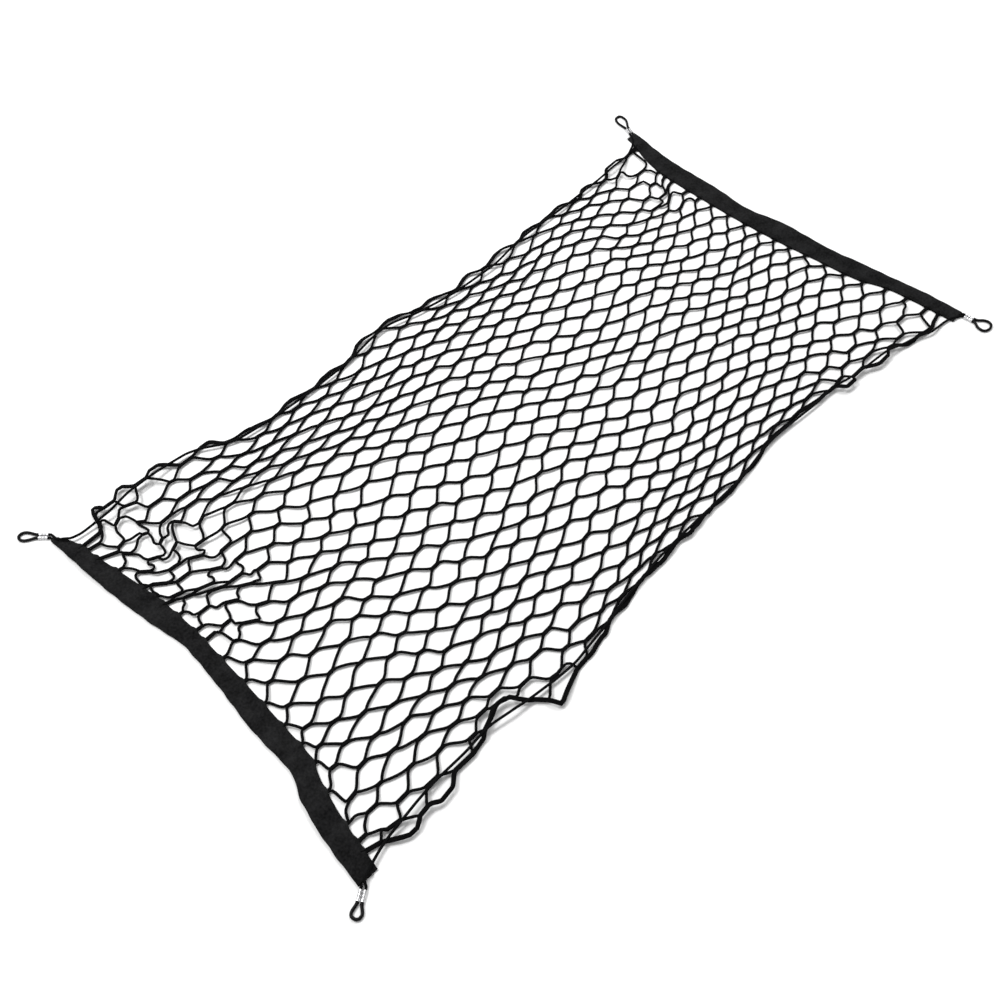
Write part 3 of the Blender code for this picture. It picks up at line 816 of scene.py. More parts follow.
SLACK_LANES = rows_of(
    SlackLane,
    (39, 0, ((-499, 273), (-496, 284), (-494, 296))), (39, 1, ((-480, 302),)),
    (38, 1, ((-493, 293), (-487, 298))), (38, 2, ((-460, 286),)), (37, 0, ((-507, 257), (-501, 264))),
    (37, 1, ((-489, 282), (-486, 272))), (37, 2, ((-469, 276), (-464, 281))), (36, 0, ((-507, 244),)),
    (36, 1, ((-486, 239), (-486.5, 252))), (36, 2, ((-466, 266), (-462, 256))),
    (35, 1, ((-478, 231), (-468, 231))), (35, 2, ((-457, 226), (-460, 239))),
    (34, 1, ((-487, 214), (-479, 219), (-473, 225))), (34, 2, ((-460, 215), (-463, 204))),
    (34, 3, ((-450, 210), (-445, 219))), (33, 0, ((-503, 208), (-501, 216))),
    (33, 1, ((-486, 203), (-485, 195))), (33, 2, ((-465, 181), (-461, 183), (-459, 192))),
    (33, 3, ((-444, 202), (-438, 212), (-431, 216))), (32, 0, ((-503, 192),)),
    (32, 1, ((-485, 173), (-482, 178), (-486, 184))), (32, 2, ((-468, 175), (-463, 174.5))),
    (32, 3, ((-438, 198), (-433, 209), (-429, 213))), (32, 4, ((-418, 202), (-413, 190))),
    (31, 0, ((-508, 165), (-508, 176), (-504, 183))), (31, 1, ((-487, 167),)),
    (31, 2, ((-453, 163), (-451, 172))), (31, 3, ((-438, 177),)), (31, 4, ((-412, 172), (-408, 184))),
    (30, 1, ((-480, 143.5), (-474, 144.5), (-473, 152))), (30, 3, ((-425, 150), (-431, 158))),
    (29, 0, ((-504, 147), (-502, 155))), (29, 2, ((-453, 142), (-450, 149))),
    (29, 3, ((-426, 136), (-420, 132), (-414, 133))), (28, 1, ((-477, 124), (-477, 132))),
    (28, 3, ((-419, 117), (-415, 121), (-413, 129))), (27, 2, ((-443, 105), (-441, 110), (-444, 116))),
    (27, 3, ((-424, 110), (-419, 108))), (26, 3, ((-409, 92), (-406, 98), (-408, 105))),
    (25, 0, ((-491, 102), (-486, 105), (-485, 110))), (25, 3, ((-410, 86), (-406, 80), (-400, 82))),
    (24, 0, ((-490, 92), (-488, 84))), (24, 1, ((-464, 89), (-460, 95.5))),
    (24, 3, ((-408, 69), (-402, 66), (-399, 74))), (23, 0, ((-488, 72), (-485, 78.5))),
    (23, 1, ((-465, 77), (-463, 72.5), (-454, 72))), (23, 2, ((-437, 63), (-433, 72))),
    (22, 1, ((-457, 55), (-455, 65))), (22, 2, ((-437, 58), (-433, 48))), (21, 0, ((-481, 43), (-476, 44))),
    (21, 1, ((-460.5, 40), (-456, 36))), (21, 2, ((-436, 22), (-433.5, 33))),
    (20, 1, ((-464, 24), (-461, 31))), (5, 0, ((-512, -228),)), (4, 0, ((-510, -240),)),
    (3, 0, ((-509, -255),)), (2, 0, ((-507, -267), (-500, -270))), (1, 0, ((-505, -277), (-499, -271.5))),
    (0, 0, ((-500, -287), (-489, -293.5))), (2, 6, ((-325, -254),)),
    (2, 7, ((-299, -261), (-293, -265), (-286, -261))), (1, 7, ((-294, -267), (-288, -276))),
    (0, 7, ((-296, -268), (-288, -279))), (0, 8, ((-270, -299),)),
    (1, 9, ((-239, -277), (-227, -276.5), (-221, -283))), (38, 30, ((440, 260),)),
    (37, 31, ((469, 256), (467, 246), (471, 239))), (37, 32, ((504, 239), (512, 246), (515, 260))),
    (36, 32, ((498, 231), (502, 226))), (35, 31, ((474, 217), (474, 207))),
    (34, 32, ((484, 196), (482, 189), (487, 190))), (33, 32, ((480, 179), (487, 190))),
    (32, 31, ((447, 162), (457, 162.5))), (31, 31, ((450, 157), (458, 156))),
    (30, 32, ((485, 167), (490, 156))), (29, 31, ((451, 138), (455, 134.5))),
    (28, 32, ((487, 140), (493, 135))), (4, 32, ((512, -220), (517, -224))),
    (3, 32, ((508, -237), (518, -234))),
)


@dataclass(frozen=True)
class Fold:
    """A soft bump of the net around plan (x, y): how far it reaches and how high it lifts, in mm."""

    x: float
    y: float
    reach_x: float
    reach_y: float
    lift: float


FOLDS = rows_of(
    Fold,
    (-425, 292, 44, 22, 7.5), (-480, 275, 32, 26, 5), (-455, 205, 34, 26, 6), (-470, 108, 34, 18, 5),
    (-405, 165, 42, 26, 3.5), (-445, -287, 62, 16, 6), (-312, -262, 40, 16, 7.5), (-262, -300, 26, 16, 4),
    (-330, 190, 60, 14, 3), (20, -262, 70, 12, 3), (340, -262, 34, 14, 7), (415, -266, 36, 14, 7),
    (-60, 281, 50, 10, 3), (200, 262, 60, 12, 3), (475, 175, 26, 26, 6), (480, 266, 40, 22, 7),
    (508, -245, 26, 40, 7),
)


@dataclass(frozen=True)
class SleeveRow:
    """A sleeve's outer and inner edge at one y, in plan millimetres."""

    y: float
    outer: float
    inner: float


class End(Enum):
    """The two ends of the net, by the way their sleeve opens."""

    LEFT = 1
    RIGHT = -1


SLEEVE_ROWS = {
    End.LEFT: rows_of(
        SleeveRow,
        (-299, -554, -528), (-240, -549, -521), (-190, -540, -511), (-150, -527, -500), (-90, -528, -499),
        (-20, -523, -498), (50, -520, -498), (106, -530, -501), (161, -539, -509), (228, -547, -522),
        (280, -551, -533), (299, -553, -543),
    ),
    End.RIGHT: rows_of(
        SleeveRow,
        (-299, 556, 534), (-250, 555, 532), (-200, 550, 528), (-150, 544, 513), (-90, 538, 508),
        (-15, 539, 502), (60, 528.5, 500), (120, 534.5, 501), (200, 537, 504.5), (245, 542, 513.5),
        (290, 551, 531), (306, 553, 535),
    ),
}


def sleeve_edge(end: End, y: Any, edge: str) -> Any:
    """Plan x of a sleeve's edge.

    Args:
        end: Which end of the net.
        y: Plan y, one or many.
        edge: outer or inner.

    Returns:
        The x in millimetres.
    """
    rows = SLEEVE_ROWS[end]
    return through([r.y for r in rows], [getattr(r, edge) for r in rows], np.asarray(y, float))


FLAT_BY_SLEEVE = 14
FOLDS_RISE_OVER = 40


def fold_height(x: Any, y: Any) -> Any:
    """How far the net is lifted off the floor.

    Args:
        x: Plan x, one or many.
        y: Plan y, one or many.

    Returns:
        The height in metres.
    """
    lift = np.zeros(np.shape(x))
    for fold in FOLDS:
        away = ((x - fold.x) / fold.reach_x) ** 2 + ((y - fold.y) / fold.reach_y) ** 2
        lift = lift + fold.lift * np.exp(-away)
    inside = np.minimum(x - sleeve_edge(End.LEFT, y, "inner"), sleeve_edge(End.RIGHT, y, "inner") - x)
    free = np.clip((inside - FLAT_BY_SLEEVE) / FOLDS_RISE_OVER, 0, 1)
    return lift * free * free * (3 - 2 * free) * MM


@dataclass(frozen=True)
class Passage:
    """How one strand passes a join: where it comes in and goes out, its way and its height."""

    first: np.ndarray
    second: np.ndarray
    way: np.ndarray
    height: float


class Loose(Enum):
    """What is uneven about a join: its turn, how its two strands lean, or its length."""

    TURN = 0
    LEAN = 1
    LENGTH = 2


SCATTER = (12.9898, 78.233, 37.719, 43758.5453)


@dataclass
class ElasticMesh:
    """The mesh: zigzag strands, each joined in turn to the strand on its one side and on its other."""

    strands: int = 40
    last_column: int = 33
    cord: float = 3.5 * MM
    join_share: float = 0.062
    join_most: float = 5.0
    pair_gap: float = 0.95
    border_gap: float = 2.3
    border_beat: float = 0.41
    pull_share: float = 0.62
    loose_turn: float = 0.14
    loose_length: float = 0.22
    loose_lean: float = 0.75
    loose_x: float = 1.5
    loose_y: float = 0.9
    loose_at_border: float = 0.3
    sway_share: float = 0.07
    kink_share: float = 0.035
    pull_most: float = 26.0
    hump_most: float = 1.1
    lane_parts: tuple[float, ...] = (0.16, 0.33, 0.5, 0.67, 0.84)
    slack_hump: float = 1.0 * MM
    slack_spacing: float = 3.2
    tuck: float = 5.0
    border_half: float = 1.2
    border_cell: float = 3.0
    rise_start: float = 4.0
    rise_over: float = 22.0
    sleeve_floor: float = 0.9 * MM
    seed: int = 7
    placed: dict[tuple[int, int], PlacedJoin] = field(
        default_factory=lambda: {(join.column, join.boundary): join for join in PLACED_JOINS}
    )
    slack: dict[tuple[int, int], tuple[tuple[float, float], ...]] = field(
        default_factory=lambda: {(lane.strand, lane.column): lane.via for lane in SLACK_LANES}
    )

    def column_lines(self, column: MeshColumn) -> tuple[np.ndarray, np.ndarray]:
        """Reads one column of the table at every boundary between strands.

        Args:
            column: The table's column.

        Returns:
            x and y at boundaries 0 to the number of strands.
        """
        every = np.arange(self.strands + 1)
        first = 1 if column.number % 2 else 2
        at = list(range(first, self.strands, 2))
        cells = list(reversed(column.cells))
        if column.number % 2 == 0:
            outer_high = 2 * cells[-1] - (cells[-1] + cells[-2]) / 2
            outer_low = 2 * cells[0] - (cells[0] + cells[1]) / 2
            at = [1, *at, self.strands - 1]
            lowest = (outer_low + column.low + self.border_cell) / 2
            cells = [lowest, *cells, (outer_high + column.high - self.border_cell) / 2]
        low, high = column.low + self.border_half, column.high - self.border_half
        y = through([0, *at, self.strands], [low, *cells, high], every)
        if len(column.places) == 3:
            stations = [share * self.strands for share in (0.1, 0.5, 0.9)]
            x = through(stations, column.places[::-1], every)
        else:
            places = list(reversed(column.places))
            at = list(range(first, self.strands, 2))
            low_x = places[0] if column.low_x is None else column.low_x
            high_x = places[-1] if column.high_x is None else column.high_x
            x = through([0, *at, self.strands], [low_x, *places, high_x], every)
        return x, y

    def lattice(self) -> tuple[np.ndarray, np.ndarray]:
        """Plan x and y of every place, by mesh column and by strand boundary."""
        lines = [self.column_lines(column) for column in MESH_COLUMNS]
        stations = [column.number for column in MESH_COLUMNS]
        columns = np.arange(self.last_column + 1)
        x = np.empty((len(columns), self.strands + 1))
        y = np.empty_like(x)
        for boundary in range(self.strands + 1):
            x[:, boundary] = through(stations, [line[0][boundary] for line in lines], columns)
            y[:, boundary] = through(stations, [line[1][boundary] for line in lines], columns)
        chance = np.random.default_rng(self.seed)
        loose = np.ones_like(x)
        loose[:, 0] = loose[:, -1] = self.loose_at_border
        x[1:-1] += self.loose_x * chance.uniform(-1, 1, x[1:-1].shape) * loose[1:-1]
        y[1:-1] += self.loose_y * chance.uniform(-1, 1, x[1:-1].shape) * loose[1:-1]
        for (column, boundary), join in self.placed.items():
            x[column, boundary], y[column, boundary] = join.x, join.y
        for column, end in ((0, End.LEFT), (self.last_column, End.RIGHT)):
            edge = sleeve_edge(end, y[column], "inner")
            for boundary in range(self.strands + 1):
                join = self.placed.get((column, boundary))
                if join:
                    y[column, boundary] -= math.tan(math.radians(join.turn)) * (join.x - edge[boundary])
            x[column] = sleeve_edge(end, y[column], "inner")
        return x, y

    def entries(self, end: End) -> np.ndarray:
        """Where joined strands enter a sleeve: their plan y."""
        _, y = self.lattice()
        return y[0, 1::2] if end is End.LEFT else y[-1, 0::2]

    def passage(self, column: int, boundary: int, side: int, x: np.ndarray, y: np.ndarray) -> Passage:
        """How a strand passes one join, beside its neighbour.

        Args:
            column: The join's column.
            boundary: The boundary that the join is on.
            side: 1 for the upper strand of the two and -1 for the lower one.
            x: The lattice's plan x.
            y: The lattice's plan y.

        Returns:
            The passage.
        """
        before, after = max(column - 1, 0), min(column + 1, self.last_column)
        middle = np.array([x[column, boundary], y[column, boundary]])
        join = self.placed.get((column, boundary))
        if join:
            angle, half = math.radians(join.turn), join.half
        else:
            ahead = np.array([x[after, boundary], y[after, boundary]])
            way = ahead - [x[before, boundary], y[before, boundary]]
            length = float(np.linalg.norm(way)) / (after - before) * 2
            angle = math.atan2(way[1], way[0]) + self.loose_turn * self.uneven(column, boundary, Loose.TURN)
            longer = 1 + self.loose_length * self.uneven(column, boundary, Loose.LENGTH)
            half = min(self.join_share * length * longer, self.join_most)
        way = np.array([math.cos(angle), math.sin(angle)])
        across = np.array([-way[1], way[0]])
        single = boundary in (0, self.strands)
        lean = self.loose_lean * self.uneven(column, boundary, Loose.LEAN)
        aside = across * (0.0 if single else self.pair_gap * side * math.cos(lean))
        centre = middle + aside
        first, second = centre - way * half, centre + way * half
        if join and column == 0:
            first, second = centre, np.array([join.x, join.y]) + aside
        elif join and column == self.last_column:
            first, second = np.array([join.x, join.y]) + aside, centre
        rise = 0.0 if single else self.pair_gap * MM * (abs(math.sin(lean)) + side * math.sin(lean))
        return Passage(first, second, way, self.rest_height(float(centre[0]), float(centre[1])) + rise)

    def strand_way(
        self, strand: int, x: np.ndarray, y: np.ndarray, chance: np.random.Generator
    ) -> np.ndarray:
        """One strand's route, from inside the left sleeve to inside the right one.

        Args:
            strand: Its number from the low edge.
            x: The lattice's plan x.
            y: The lattice's plan y.
            chance: Where its unevenness comes from.

        Returns:
            The route's points in metres.
        """
        last = self.last_column
        passages = []
        for column in range(last + 1):
            boundary = strand if (strand + column) % 2 else strand + 1
            side = 1 if boundary == strand else -1
            passages.append(self.passage(column, boundary, side, x, y))
        start, finish = passages[0].first, passages[last].second
        start = np.array([float(sleeve_edge(End.LEFT, start[1], "inner")) - self.tuck, start[1]])
        finish = np.array([float(sleeve_edge(End.RIGHT, finish[1], "inner")) + self.tuck, finish[1]])
        inside = self.sleeve_floor + self.cord / 2 + 0.1 * MM
        points = [seen_at(*start, inside)]
        for column, here in enumerate(passages):
            if column == 0:
                points.append(seen_at(*((start + here.second) / 2), inside))
            else:
                points.append(seen_at(*here.first, here.height))
            if column == last:
                points.append(seen_at(*((here.first + finish) / 2), inside))
                points.append(seen_at(*finish, inside))
                break
            if column:
                points.append(seen_at(*((here.first + here.second) / 2), here.height))
            points.append(seen_at(*here.second, here.height))
            after = passages[column + 1]
            via = self.slack.get((strand, column))
            points += self.slack_lane(here, after, via) if via else self.lane(here, after, chance)
        return np.array([tuple(p) for p in points])

    def lane(self, here: Passage, after: Passage, chance: np.random.Generator) -> list[Vector]:
        """The single cord from one join to the next, leaving and arriving in line with the joins.

        Args:
            here: The passage that it leaves.
            after: The passage that it reaches.
            chance: Where its unevenness comes from.

        Returns:
            The points between the two joins.
        """
        start, finish = here.second, after.first
        chord = float(np.linalg.norm(finish - start))
        pull = min(chord, self.pull_most) * self.pull_share
        sway = chance.uniform(-self.sway_share, self.sway_share) * chord
        kink = chance.uniform(-self.kink_share, self.kink_share) * chord
        across = np.array([-(finish - start)[1], (finish - start)[0]]) / max(chord, 1e-6)
        hump = chance.uniform(0.0, self.hump_most) * MM
        points = []
        for part in self.lane_parts:
            rise = part * part * (3 - 2 * part)
            place = start * (1 - rise) + finish * rise
            leaving = here.way * pull * part * (1 - part) ** 2
            arriving = after.way * pull * part * part * (1 - part)
            place = place + leaving - arriving
            aside = sway * math.sin(math.pi * part) + kink * math.sin(2 * math.pi * part)
            place = place + across * aside
            ground = self.rest_height(float(place[0]), float(place[1]))
            height = max(ground, here.height * (1 - rise) + after.height * rise)
            points.append(seen_at(float(place[0]), float(place[1]), height + hump * math.sin(math.pi * part)))
        return points

    def slack_lane(self, here: Passage, after: Passage, via: Sequence[tuple[float, float]]) -> list[Vector]:
        """A slack cord from one join to the next, through given places.

        Args:
            here: The passage that it leaves.
            after: The passage that it reaches.
            via: The plan places that it passes.

        Returns:
            The points between the two joins.
        """
        rows = [here.second, *via, after.first]
        way = smooth_way([(float(row[0]), float(row[1]), 0.0) for row in rows], self.slack_spacing)
        points = []
        for step, (x, y, _) in enumerate(way[1:-1], start=1):
            part = step / (len(way) - 1)
            ground = self.rest_height(x, y)
            height = max(ground, here.height * (1 - part) + after.height * part)
            points.append(seen_at(x, y, height + self.slack_hump * math.sin(math.pi * part)))
        return points

    def beside(self, way: np.ndarray, side: int) -> np.ndarray:
        """The route of the cord that doubles an outermost strand, on that side of its plan.

        Args:
            way: The strand's route.
            side: -1 for its left and 1 for its right.

        Returns:
            The route's points in metres.
        """
        ahead = np.gradient(way[:, :2], axis=0)
        ahead /= np.maximum(np.linalg.norm(ahead, axis=1, keepdims=True), 1e-9)
        away = np.stack([ahead[:, 1], -ahead[:, 0]], axis=1) * side
        beat = np.sin(np.arange(len(way)) * self.border_beat)
        double = way.copy()
        double[:, :2] += away * (self.border_gap * (0.8 + 0.2 * beat))[:, None] * MM
        double[:, 2] += self.cord * 0.25 * (1 - beat)
        return double

    def rest_height(self, x: float, y: float) -> float:
        """Middle of a strand that lies on the floor or on a fold, rising into the sleeves."""
        left, right = (float(sleeve_edge(end, y, "inner")) for end in (End.LEFT, End.RIGHT))
        inside = min(x - left, right - x)
        free = min(max((inside - self.rise_start) / self.rise_over, 0.0), 1.0)
        on_floor = self.cord / 2 + 0.05 * MM
        return on_floor + self.sleeve_floor * (1 - free) + float(fold_height(x, y))

    def uneven(self, column: int, boundary: int, kind: Loose) -> float:
        """A join's own unevenness from -1 to 1, the same for both its strands."""
        by_column, by_boundary, by_kind, spread = SCATTER
        phase = math.sin(column * by_column + boundary * by_boundary + kind.value * by_kind) * spread
        return 2 * (phase - math.floor(phase)) - 1

    def build(self) -> bpy.types.Object:
        """Makes every strand, and the cord beside each outermost one, as one piece.

        Returns:
            The mesh as one object.
        """
        x, y = self.lattice()
        chance = np.random.default_rng(self.seed + 1)
        ways = [self.strand_way(strand, x, y, chance) for strand in range(self.strands)]
        ways += [self.beside(ways[0], -1), self.beside(ways[-1], 1)]
        piece = RoundCord(self.cord).build("mesh_strands", ways, NET_COVER.material())
        LOG.info("mesh: %d strands, %.1f m of cord", len(ways), sum(length_of(way) for way in ways))
        return piece


# ---- sleeves -------------------------------------------------------------------------------------


@dataclass(frozen=True)
class Pucker:
    """A soft ridge across a sleeve's upper layer: its y, its reach and its height, in mm."""

    y: float
    reach: float
    height: float


PUCKERS = {
    End.LEFT: rows_of(
        Pucker,
        (-236, 7, 1.0), (-222, 5, -0.5), (-152, 6, 1.5), (-142, 4, -0.7), (-60, 12, 0.6), (-12, 5, 0.5),
        (44, 8, 0.8), (54, 5, -0.5), (140, 10, 0.7), (206, 6, 0.6), (262, 8, 1.1),
    ),
    End.RIGHT: rows_of(
        Pucker,
        (-262, 6, 0.6), (-206, 7, 1.1), (-195, 4, -0.5), (-118, 11, 0.8), (-14, 6, 1.4), (-4, 4, -0.7),
        (40, 7, 0.5), (96, 10, 0.7), (160, 6, 0.5), (205, 8, 1.0), (282, 7, 0.9),
    ),
}


@dataclass(frozen=True)
class LiftedFold:
    """A stretch of a sleeve whose folded edge stands off the floor: its y, reach and lift, in mm."""

    y: float
    reach: float
    lift: float


LIFTED_FOLDS = {
    End.LEFT: rows_of(LiftedFold, (232, 42, 3.2), (-205, 38, 2.4)),
    End.RIGHT: rows_of(LiftedFold, (-130, 40, 1.6)),
}


@dataclass
class FoldedSleeve:
    """A strip of woven cloth folded over one end of the mesh, sewn along its open edge."""

    end: End
    entries: np.ndarray
    cloth: float = 0.8 * MM
    cord_room: float = 3.6 * MM
    slack_room: float = 1.5 * MM
    pinch: float = 0.35 * MM
    entry_room: float = 3.5 * MM
    entry_reach: float = 5.5
    scallop: float = 1.7
    ripple: float = 0.16
    stations: int = 230
    flat_steps: int = 7
    fold_steps: int = 8
    seam_inset: float = 3.4
    stitch: float = 2.7
    stitch_pitch: float = 3.6
    stitch_size: tuple[float, float, float] = (1.55 * MM, 0.30 * MM, 0.22 * MM)
    unsewn: tuple[float, float] = (4.0, 9.0)
    frays: int = 13
    fray_root: float = 1.5
    fray_reach: tuple[float, float] = (1.2, 3.6)
    fray_lean: float = 0.9
    low_frays: float = 0.4
    seed: int = 3

    @property
    def name(self) -> str:
        """The sleeve's node name."""
        return "sleeve_" + self.end.name.lower()

    def near_entry(self, y: float) -> float:
        """1 where joined strands enter the sleeve, falling to 0 between them."""
        away = (np.asarray(y, float) - self.entries) / self.entry_reach
        return float(np.exp(-away * away).max())

    def edges(self, y: float) -> tuple[float, float]:
        """Plan x of the fold and of the sewn edge, which is drawn out by each pair of strands."""
        outer = float(sleeve_edge(self.end, y, "outer"))
        inner = float(sleeve_edge(self.end, y, "inner"))
        outer += 0.5 * math.sin(y * 0.21 + self.seed) * math.sin(y * 0.043)
        return outer, inner + self.end.value * self.scallop * (self.near_entry(y) - 0.4)

    def room(self, y: float, share: float) -> float:
        """Clear height between the layers.

        Args:
            y: Plan y.
            share: 0 at the fold and 1 at the sewn edge.

        Returns:
            The height in metres.
        """
        entry = self.near_entry(y)
        at_edge = self.pinch + (self.entry_room - self.pinch) * entry
        stations = (0.0, 0.22, 0.55, 0.80, 1.0)
        heights = (
            self.cord_room,
            self.cord_room,
            self.slack_room,
            self.slack_room * 0.5 + at_edge * 0.8,
            at_edge,
        )
        return float(through(stations, heights, share))

    def ridge(self, y: float, share: float) -> float:
        """How far puckers and creases lift the upper layer."""
        lift = 0.0
        for pucker in PUCKERS[self.end]:
            slant = y + 9 * (share - 0.5)
            lift += pucker.height * math.exp(-(((slant - pucker.y) / pucker.reach) ** 2))
        lift *= 0.35 + 0.65 * math.sin(math.pi * min(max(share, 0.0), 1.0))
        wide = math.sin(y * 0.35 + 5.0 * share) * math.sin(y * 0.083 + 1.3)
        narrow = 0.6 * math.sin(y * 0.62 - 4.0 * share)
        return (lift + self.ripple * (wide + narrow) * math.sin(math.pi * share)) * MM

    def stand_off(self, y: float, share: float) -> float:
        """How far both layers stand off the floor, most at the fold."""
        lift = sum(f.lift * math.exp(-(((y - f.y) / f.reach) ** 2)) for f in LIFTED_FOLDS[self.end])
        return lift * (1 - share) ** 2 * MM

    def upper(self, y: float, share: float) -> Vector:
        """A point in the middle of the upper layer's cloth."""
        outer, inner = self.edges(y)
        height = self.cloth * 1.5 + self.room(y, share) + self.ridge(y, share) + self.stand_off(y, share)
        fold = outer + self.end.value * self.bend_radius(y) / MM
        return at_plan(fold + (inner - fold) * share, y, max(height, self.cloth * 1.5 + 0.1 * MM))

    def bend_radius(self, y: float) -> float:
        """Radius of the fold, to the middle of the cloth."""
        return (self.room(y, 0.0) + self.cloth) / 2

    def section(self, y: float) -> list[Vector]:
        """The cloth's middle line across the sleeve: lower layer, fold and upper layer."""
        outer, inner = self.edges(y)
        radius = self.bend_radius(y)
        fold = outer + self.end.value * radius / MM
        low = self.cloth / 2
        points = []
        for step in range(self.flat_steps + 1):
            share = 1.0 - step / self.flat_steps
            points.append(at_plan(fold + (inner - fold) * share, y, low + self.stand_off(y, share)))
        for step in range(1, self.fold_steps):
            turn = math.pi * step / self.fold_steps
            x = fold - self.end.value * math.sin(turn) * radius / MM
            height = low + self.stand_off(y, 0.0) + radius * (1 - math.cos(turn))
            points.append(at_plan(x, y, height))
        for step in range(self.flat_steps * 2 + 1):
            points.append(self.upper(y, step / (self.flat_steps * 2)))
        return points

    def build(self) -> bpy.types.Object:
        """Makes the sleeve's cloth: a grid laid over its sections, with thickness.

        Returns:
            The sleeve.
        """
        rows = SLEEVE_ROWS[self.end]
        ys = np.linspace(rows[0].y, rows[-1].y, self.stations)
        sections = [self.section(float(y)) for y in ys]
        across = len(sections[0])
        tool = bmesh.new()
        bmesh.ops.create_grid(
            tool, x_segments=across - 1, y_segments=self.stations - 1, size=0.5, calc_uvs=True
        )
        layer = tool.loops.layers.uv.verify()
        widths = np.concatenate([[0], np.cumsum(steps_of(sections[9]))])
        lengths = (ys - ys[0]) * MM
        chance = np.random.default_rng(self.seed + (self.end is End.LEFT))
        ragged = chance.uniform(-0.5, 0.5, (2, across)) * MM
        for vert in tool.verts:
            place = round((vert.co.x + 0.5) * (across - 1))
            station = round((vert.co.y + 0.5) * (self.stations - 1))
            for loop in vert.link_loops:
                loop[layer].uv = (lengths[station], widths[place])
            vert.co = sections[station][place]
            if station == 0:
                vert.co.y += ragged[0][place]
            elif station == self.stations - 1:
                vert.co.y += ragged[1][place]
        bmesh.ops.recalc_face_normals(tool, faces=tool.faces[:])
        data = mesh_of(tool, self.name)
        data.uv_layers[0].name = "UVMap"
        sleeve = new_piece(self.name + "_cloth", data, SLEEVE_CLOTH.material())
        thick = sleeve.modifiers.new("cloth", "SOLIDIFY")
        thick.thickness = self.cloth
        thick.offset = 0.0
        return sleeve

    def flat_size(self) -> tuple[float, float]:
        """Mean width and length of the strip before it was folded."""
        rows = SLEEVE_ROWS[self.end]
        widths = []
        for y in np.linspace(rows[0].y, rows[-1].y, self.stations // 5):
            widths.append(sum(steps_of(self.section(float(y)))))
        return float(np.mean(widths)), (rows[-1].y - rows[0].y) * MM

    def build_stitches(self) -> bpy.types.Object:
        """Makes the line of stitches along the sewn edge.

        Returns:
            The stitches as one piece.
        """
        rows = SLEEVE_ROWS[self.end]
        tool = bmesh.new()
        y = rows[0].y + self.unsewn[0]
        while y < rows[-1].y - self.unsewn[1]:
            outer, inner = self.edges(y)
            share = 1.0 - self.seam_inset / abs(inner - outer)
            first, second = self.upper(y, share), self.upper(y + self.stitch, share)
            middle = (first + second) / 2 + Vector((0, 0, self.cloth / 2 + 0.05 * MM))
            turn = (second - first).to_track_quat("X", "Z").to_matrix().to_4x4()
            size = Matrix.Diagonal((*self.stitch_size, 1.0))
            matrix = Matrix.Translation(middle) @ turn @ size
            bmesh.ops.create_icosphere(tool, subdivisions=1, radius=1.0, matrix=matrix, calc_uvs=True)
            y += self.stitch_pitch
        return new_piece(self.name + "_stitches", mesh_of(tool, self.name + "_stitches"), THREAD.material())

    def build_frays(self) -> bpy.types.Object:
        """Makes the loose threads at the two cut ends.

        Returns:
            The threads as one piece.
        """
        rows = SLEEVE_ROWS[self.end]
        chance = np.random.default_rng(self.seed + 20 + (self.end is End.LEFT))
        ways = []
        for y, out in ((rows[0].y, -1.0), (rows[-1].y, 1.0)):
            for _ in range(self.frays):
                share = chance.uniform(0.02, 1.0)
                root = self.upper(y - out * self.fray_root, share)
                if chance.uniform() < self.low_frays:
                    root.z = self.cloth / 2
                reach = chance.uniform(*self.fray_reach) * MM
                lean = chance.uniform(-self.fray_lean, self.fray_lean) * reach
                drop = max(root.z - 1.6 * MM * chance.uniform(0, 1.5), 0.3 * MM)
                middle = root + Vector((lean * 0.3, out * (reach * 0.5 + self.fray_root * MM), 0.1 * MM))
                tip = Vector((root.x + lean, root.y + out * (reach + self.fray_root * MM), drop))
                ways.append(smooth_way((root, middle, tip), 0.5 * MM))
        return RoundCord(0.22 * MM, 0).build(self.name + "_frays", ways, GREY_THREAD.material())


# ---- corners and the cords between them ----------------------------------------------------------


class Side(Enum):
    """Which of a corner's two barrels, by the cord that it is pressed on."""

    SLEEVE = 1
    EDGE = -1


